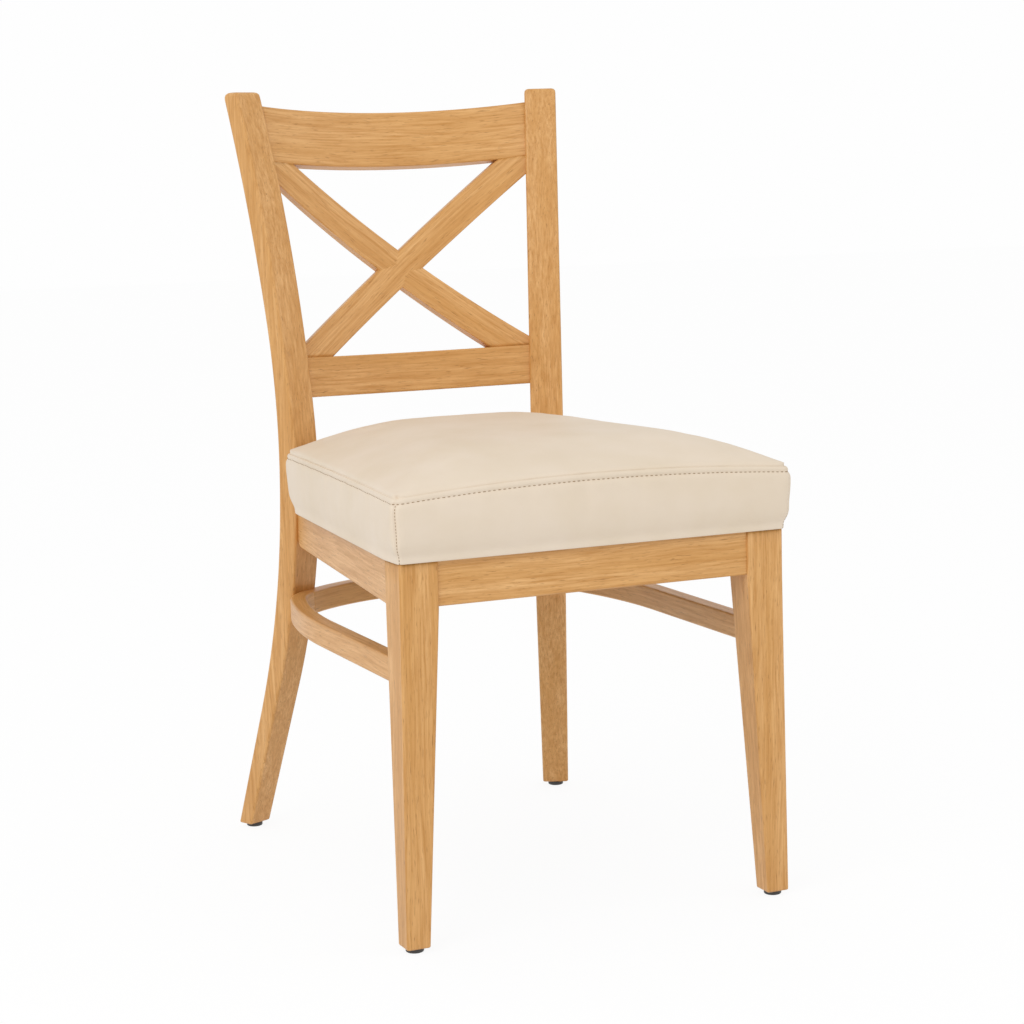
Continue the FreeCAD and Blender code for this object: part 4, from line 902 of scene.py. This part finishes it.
def swelling(vertices, quads, fan, rows):
    """How the stuffing pushes the leather out between its seams: an even shell over the same
    form is blown up a little as cloth, held at its lower edge, at the seam and at the four
    corners, and every point of the cushion follows the shell's nearest points.
    """
    scene = bpy.context.scene
    mesh = bpy.data.meshes.new("shell")
    mesh.from_pydata((vertices * MM).tolist(), [], quads.tolist() + fan.tolist())
    rough = placed("shell", mesh)
    even = rough.modifiers.new("Even", "REMESH")
    even.mode = "VOXEL"
    even.voxel_size = SHELL_CELL * MM
    graph = bpy.context.evaluated_depsgraph_get()
    shell_mesh = bpy.data.meshes.new_from_object(rough.evaluated_get(graph))
    shell = placed("shell_cloth", shell_mesh)
    before = coordinates(shell_mesh)
    height = before[:, 2] - APRON_TOP
    corner = np.min(np.linalg.norm(before[:, None, :2] - CORNERS[None], axis=2), axis=1)
    seam = boxing(vertices, rows)[-1]
    from_seam = np.full(len(before), np.inf)
    for point in seam[::2]:
        from_seam = np.minimum(from_seam, np.linalg.norm(before - point, axis=1))
    held = (height < HELD_BELOW) | (from_seam < HELD_AT_SEAM)
    held |= (corner < HELD_AT_CORNER) & (height < SEAM)
    group = shell.vertex_groups.new(name="Held")
    group.add(np.nonzero(held)[0].tolist(), 1.0, "REPLACE")
    cloth = shell.modifiers.new("Leather", "CLOTH")
    cloth.settings.quality = 6
    cloth.settings.mass = 0.5
    cloth.settings.use_pressure = True
    cloth.settings.uniform_pressure_force = SWELL_PRESSURE
    cloth.settings.vertex_group_mass = "Held"
    cloth.settings.effector_weights.gravity = 0.0
    cloth.point_cache.frame_start = 1
    cloth.point_cache.frame_end = SWELL_FRAMES
    for number in range(1, SWELL_FRAMES + 1):
        scene.frame_set(number)
    graph = bpy.context.evaluated_depsgraph_get()
    settled = bpy.data.meshes.new_from_object(shell.evaluated_get(graph))
    move = coordinates(settled) - before
    length = np.linalg.norm(move, axis=1, keepdims=True)
    move *= SWELL_LIMIT * np.tanh(length / SWELL_LIMIT) / np.maximum(length, 1e-9)
    tree = KDTree(len(before))
    for number, point in enumerate(before):
        tree.insert(point, number)
    tree.balance()
    result = np.zeros_like(vertices)
    for number, point in enumerate(vertices):
        found = tree.find_n(point, FOLLOWED_POINTS)
        weights = np.exp(-((np.array([item[2] for item in found]) / FOLLOWED_REACH) ** 2)) + 1e-9
        result[number] = weights @ move[[item[1] for item in found]] / weights.sum()
    scene.frame_set(1)
    for item in (rough, shell):
        bpy.data.objects.remove(item)
    for data in (mesh, shell_mesh, settled):
        bpy.data.meshes.remove(data)
    return result


# Seams. Each relief is a list of rounded bumps: height, distance from the line, and width.
STITCH_DROP = 6.8
UNDER_SEAM = ((0.95, 3.2, 2.2), (-1.0, STITCH_DROP, 1.3), (0.5, 11.5, 3.0), (-1.7, 0.0, 0.9))
OVER_SEAM = ((0.7, 3.4, 2.4), (-1.3, 0.0, 1.1))
BESIDE_UPRIGHT = ((0.7, 4.2, 2.0), (-1.5, 0.0, 1.3))
LIP_UPRIGHT = ((0.9, 0.0, 1.3),)
UPRIGHT_START = 14.0
SEAM_SINK = 1.3
# puckers beside the corners: height, first crest below the seam, length and reach
PUCKER_HEIGHT = 1.3
PUCKER_CREST = 11.0
PUCKER_LENGTH = 46.0
PUCKER_REACH = 26.0
# ripples along the boxing: how many go round, height and start, strongest below the stitches
RIPPLES = ((31, 0.16, 0.4), (53, 0.14, 1.9), (83, 0.1, 4.1))
RIPPLE_CREST = (1.5, STITCH_DROP + 3.0, 6.0)


def relief(bumps, distance):
    """The height of a relief at a distance from its line."""
    return sum(height * np.exp(-(((distance - place) / width) ** 2)) for height, place, width in bumps)


def outward_directions():
    """The level direction out of the boxing at each of its columns."""
    out = seat_loop(0.0) - seat_loop(6.0)
    out /= np.linalg.norm(out, axis=1, keepdims=True)
    return np.concatenate([out, np.zeros((len(out), 1))], axis=1)


def sewn(vertices, rows):
    """Seams drawn into the surface, after it has swollen. Under the top's seam runs a rounded
    ridge, where the two leathers are folded under, then the groove of the topstitching. Upright
    seams join the boxing at the corners, with soft puckers beside them.
    """
    wall = boxing(vertices, rows)
    outward = outward_directions()
    travelled = distances_along(np.concatenate([wall[-1], wall[-1, :1]]))
    whole = travelled[-1]
    travelled = travelled[:-1]
    waver = 0.0
    for count, height, start in RIPPLES:
        waver = waver + height * np.sin(2 * math.pi * count * travelled / whole + start)
    beside = np.min(
        [abs((travelled - corner + whole / 2) % whole - whole / 2) for corner in travelled[::SIDE_STEPS]],
        axis=0,
    )
    for row, height in enumerate(BOXING_HEIGHTS, len(LOWER_EDGE)):
        drop = SEAM - height
        low_fade = smooth_step(SEAM, SEAM - UPRIGHT_START, drop)
        wave = np.cos(2 * math.pi * (drop - PUCKER_CREST) / PUCKER_LENGTH)
        pucker = PUCKER_HEIGHT * wave * np.exp(-beside / PUCKER_REACH)
        ripple = waver * (1 + relief([RIPPLE_CREST], drop))
        faded = low_fade * (relief(BESIDE_UPRIGHT, beside) + pucker + ripple)
        wall[row] += outward * (relief(UNDER_SEAM, drop) + faded)[:, None]
    wall[OUTER_LIP : len(LOWER_EDGE)] -= outward * relief(LIP_UPRIGHT, beside)[:, None]
    wall[-1, :, 2] -= SEAM_SINK
    lid = vertices[wall.shape[0] * wall.shape[1] : -1]
    inside = np.min(edge_distances(lid), axis=0) - SEAM_DRAW
    lid[:, 2] += relief(OVER_SEAM, inside)
    return vertices


# Stitches: pitch, length and thickness
TOPSTITCH = (5.5, 3.4, 0.85)
UPRIGHT_STITCH = (3.2, 2.5, 0.75)
# a stitch's rings from end to end: their place and their girth
STITCH_RINGS = np.array([-1.0, -0.8, -0.35, 0.35, 0.8, 1.0])
STITCH_GIRTHS = np.array([0.25, 0.75, 1.0, 1.0, 0.75, 0.25])
STITCH_SIDES = 6
STITCH_SUNK = 0.6


def stitch_row(line, outward, pitch, length, thickness):
    """Short rounded threads laid end to end along a line, each a small spindle: rings of
    points carried along the line, wide at the middle and narrow and sunk at the ends.
    """
    travelled = distances_along(line)
    count = int(travelled[-1] / pitch)
    middles = (np.arange(count) + 0.5) * travelled[-1] / count
    turn = np.linspace(0, 2 * math.pi, STITCH_SIDES + 1)[:-1]
    radius = STITCH_GIRTHS[:, None] * thickness / 2
    sunk = (STITCH_GIRTHS[:, None] - STITCH_SUNK) * thickness / 2
    threads = []
    for middle in middles:
        places = middle + STITCH_RINGS * length / 2
        spine = points_at(places, travelled, line)
        out = points_at(places, travelled, outward)
        side = np.cross(spine[-1] - spine[0], out)
        side /= np.linalg.norm(side, axis=1, keepdims=True)
        spine += out * sunk

        def place(_, up, across):
            return spine[:, None] + up[..., None] * out[:, None] + across[..., None] * side[:, None]

        threads.append(bar(STITCH_RINGS, radius * np.cos(turn), radius * np.sin(turn), place)[:3])
    return joined(threads)


def stitches(vertices, rows):
    """The topstitching's line, round the boxing, and the stitches of the upright seams."""
    wall = boxing(vertices, rows)
    outward = outward_directions()
    row = len(LOWER_EDGE) + int(np.argmin(abs(SEAM - BOXING_HEIGHTS - STITCH_DROP)))
    line = np.concatenate([wall[row], wall[row, :1]])
    around = np.concatenate([outward, outward[:1]])
    sets = [stitch_row(line, around, *TOPSTITCH)]
    for column in range(0, 4 * SIDE_STEPS, SIDE_STEPS):
        line = wall[OUTER_LIP:row, column]
        out = np.repeat(outward[column][None], len(line), axis=0)
        sets.append(stitch_row(line, out, *UPRIGHT_STITCH))
    return joined(sets)


surface, cushion_quads, cushion_fan, cushion_rows = cushion_surface()
surface = surface + swelling(surface, cushion_quads, cushion_fan, cushion_rows)
surface = sewn(surface, cushion_rows)
cushion_solids = ["seat_cover", "seat_foam"]
cushion = make(
    "seat_cushion", surface, cushion_quads, cushion_fan, LEATHER, "beige_leather", cushion_solids
)
smoother = cushion.modifiers.new("Smooth", "SUBSURF")
smoother.levels = 1
smoother.render_levels = 1
make("seat_stitching", *stitches(surface, cushion_rows), THREAD, "beige_leather", [])


# Dust cloth: one thin sheet stapled tight under the board
CLOTH_INSET = 27.9
CLOTH_LEVELS = (407.05, 407.55)


def dust_cloth_parts():
    """Two layers over the same grid, joined round their edge."""
    plan = seat_grid(CLOTH_INSET)
    count = plan.shape[0] * plan.shape[1]
    layers = []
    for level in CLOTH_LEVELS:
        height = np.full((*plan.shape[:2], 1), level)
        layers.append(np.concatenate([plan, height], axis=-1).reshape(-1, 3))
    numbers = np.arange(count).reshape(plan.shape[:2])
    rim = round_the_edge(numbers)
    next_on = np.roll(rim, -1)
    sheet = cells(numbers)
    walls = np.stack([rim, next_on, next_on + count, rim + count], axis=-1)
    quads = np.concatenate([sheet[:, ::-1], sheet + count, walls])
    return np.concatenate(layers), quads, np.zeros((0, 3), int)


cloth_parts = dust_cloth_parts()
dust_cloth = make("seat_lining", *cloth_parts, CLOTH, "black_cloth", ["seat_dust_cloth"])
cloth_rim = seat_loop(CLOTH_INSET) * MM


# CAD nodes that stay, each with its finish
OAK_ALONG_X = oak("oak_planed_and_lacquered_across", (0.0, 0.0, 0.0))
OAK_ALONG_Y = oak("oak_planed_and_lacquered_along", (0.0, 0.0, -90.0))
# the side aprons close in to the rear by this angle, and their grain with them
APRON_SLANT = 6.65
OAK_SLANT_RIGHT = oak("oak_planed_and_lacquered_right", (0.0, 0.0, -90.0 - APRON_SLANT))
OAK_SLANT_LEFT = oak("oak_planed_and_lacquered_left", (0.0, 0.0, -90.0 + APRON_SLANT))
BLOCKS = ["corner_block_%s_%s" % (end, side) for end in ("front", "rear") for side in ("right", "left")]
KEPT = (
    (OAK_ALONG_X, ["front_apron", "rear_apron"] + BLOCKS),
    (OAK_ALONG_Y, ["cross_slat_dowels", "stretcher_dowels"]),
    (OAK_SLANT_RIGHT, ["side_apron_right"]),
    (OAK_SLANT_LEFT, ["side_apron_left"]),
    (ZINC, ["seat_fixing_screws", "corner_block_screws", "foot_glide_pins", "cover_staples"]),
    (PLYWOOD, ["seat_board"]),
)
for material, names in KEPT:
    for name in names:
        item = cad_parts[name]
        item.data.materials.clear()
        item.data.materials.append(material)

# Floor, light and camera
FLOOR_WHITE = linear("#FEFEFE")
FLOOR_REACH = 14.0
FLOOR_SHOWN_SHARE = 0.9
FLOOR_SHOWN_STRENGTH = 1.024
SKY_STRENGTH = 0.8
CAMERA_PLACE = (-1.0831, -2.5333, 0.79705)
CAMERA_FORWARD = (0.39866, 0.90600, -0.14223)
CAMERA_ROLL = -1.431
CAMERA_LENS = 86.59
SENSOR_WIDTH = 36.0


def studio_floor():
    """A pale matt floor that shows the camera and mirrors an almost white tone, with a
    tenth of its own lit surface mixed in, so that only the chair's shadow marks it.
    """
    mesh = bpy.data.meshes.new("studio_floor")
    corners = [(x * FLOOR_REACH, y * FLOOR_REACH, 0) for x, y in ((-1, -1), (1, -1), (1, 1), (-1, 1))]
    mesh.from_pydata(corners, [], [(0, 1, 2, 3)])
    floor = placed("studio_floor", mesh)
    material, tree = new_material("pale_matt_floor")
    rays = add(tree, "LightPath")
    seen = rays.outputs["Is Camera Ray"]
    for ray in ("Is Glossy Ray", "Is Transmission Ray"):
        seen = add(tree, "Math", {0: seen, 1: rays.outputs[ray]}, operation="MAXIMUM")
    share = add(tree, "Math", {0: seen, 1: FLOOR_SHOWN_SHARE}, operation="MULTIPLY")
    matt = add(tree, "BsdfDiffuse", {"Color": linear("#F2F2F2")})
    white = add(tree, "Emission", {"Color": FLOOR_WHITE, "Strength": FLOOR_SHOWN_STRENGTH})
    finish_material(tree, add(tree, "MixShader", {0: share, 1: matt, 2: white}))
    mesh.materials.append(material)


def studio_world():
    """Soft white light from all round, which the camera sees as plain white."""
    world = bpy.data.worlds.new("studio")
    bpy.context.scene.world = world
    world.use_nodes = True
    tree = world.node_tree
    tree.nodes.clear()
    rays = add(tree, "LightPath")
    lit = add(tree, "Background", {"Color": (1.0, 1.0, 1.0, 1.0), "Strength": SKY_STRENGTH})
    shown = add(tree, "Background", {"Color": FLOOR_WHITE, "Strength": 1.0})
    mixed = add(tree, "MixShader", {0: rays.outputs["Is Camera Ray"], 1: lit, 2: shown})
    add(tree, "OutputWorld", {"Surface": mixed})


LAMP_TARGET = Vector((0.0, 0.0, 0.4))


def soft_box(name, place, size, power):
    """A square lamp turned towards the chair's seat."""
    lamp = bpy.data.lights.new(name, "AREA")
    lamp.shape = "SQUARE"
    lamp.size = size
    lamp.energy = power
    item = placed(name, lamp)
    item.location = place
    item.rotation_euler = (LAMP_TARGET - Vector(place)).to_track_quat("-Z", "Y").to_euler()


def photo_camera():
    """The camera's place, aim and roll, worked out from the chair's corners in the picture."""
    forward = Vector(CAMERA_FORWARD).normalized()
    right = forward.cross(Vector((0, 0, 1))).normalized()
    up = right.cross(forward)
    roll = math.radians(CAMERA_ROLL)
    cosine, sine = math.cos(roll), math.sin(roll)
    right, up = right * cosine + up * sine, up * cosine - right * sine
    lens = bpy.data.cameras.new("photo_camera")
    lens.lens = CAMERA_LENS
    lens.sensor_width = SENSOR_WIDTH
    item = placed("photo_camera", lens)
    turned = Matrix((right, up, -forward)).transposed().to_4x4()
    item.matrix_world = Matrix.Translation(CAMERA_PLACE) @ turned
    bpy.context.scene.camera = item


studio_floor()
studio_world()
# each lamp's place in metres, its width and its power
soft_box("key_light", (-2.7, -1.9, 2.9), 2.4, 40.0)
soft_box("fill_light", (2.4, -2.0, 1.8), 2.2, 7.0)
photo_camera()
bpy.context.scene.view_settings.view_transform = "Standard"
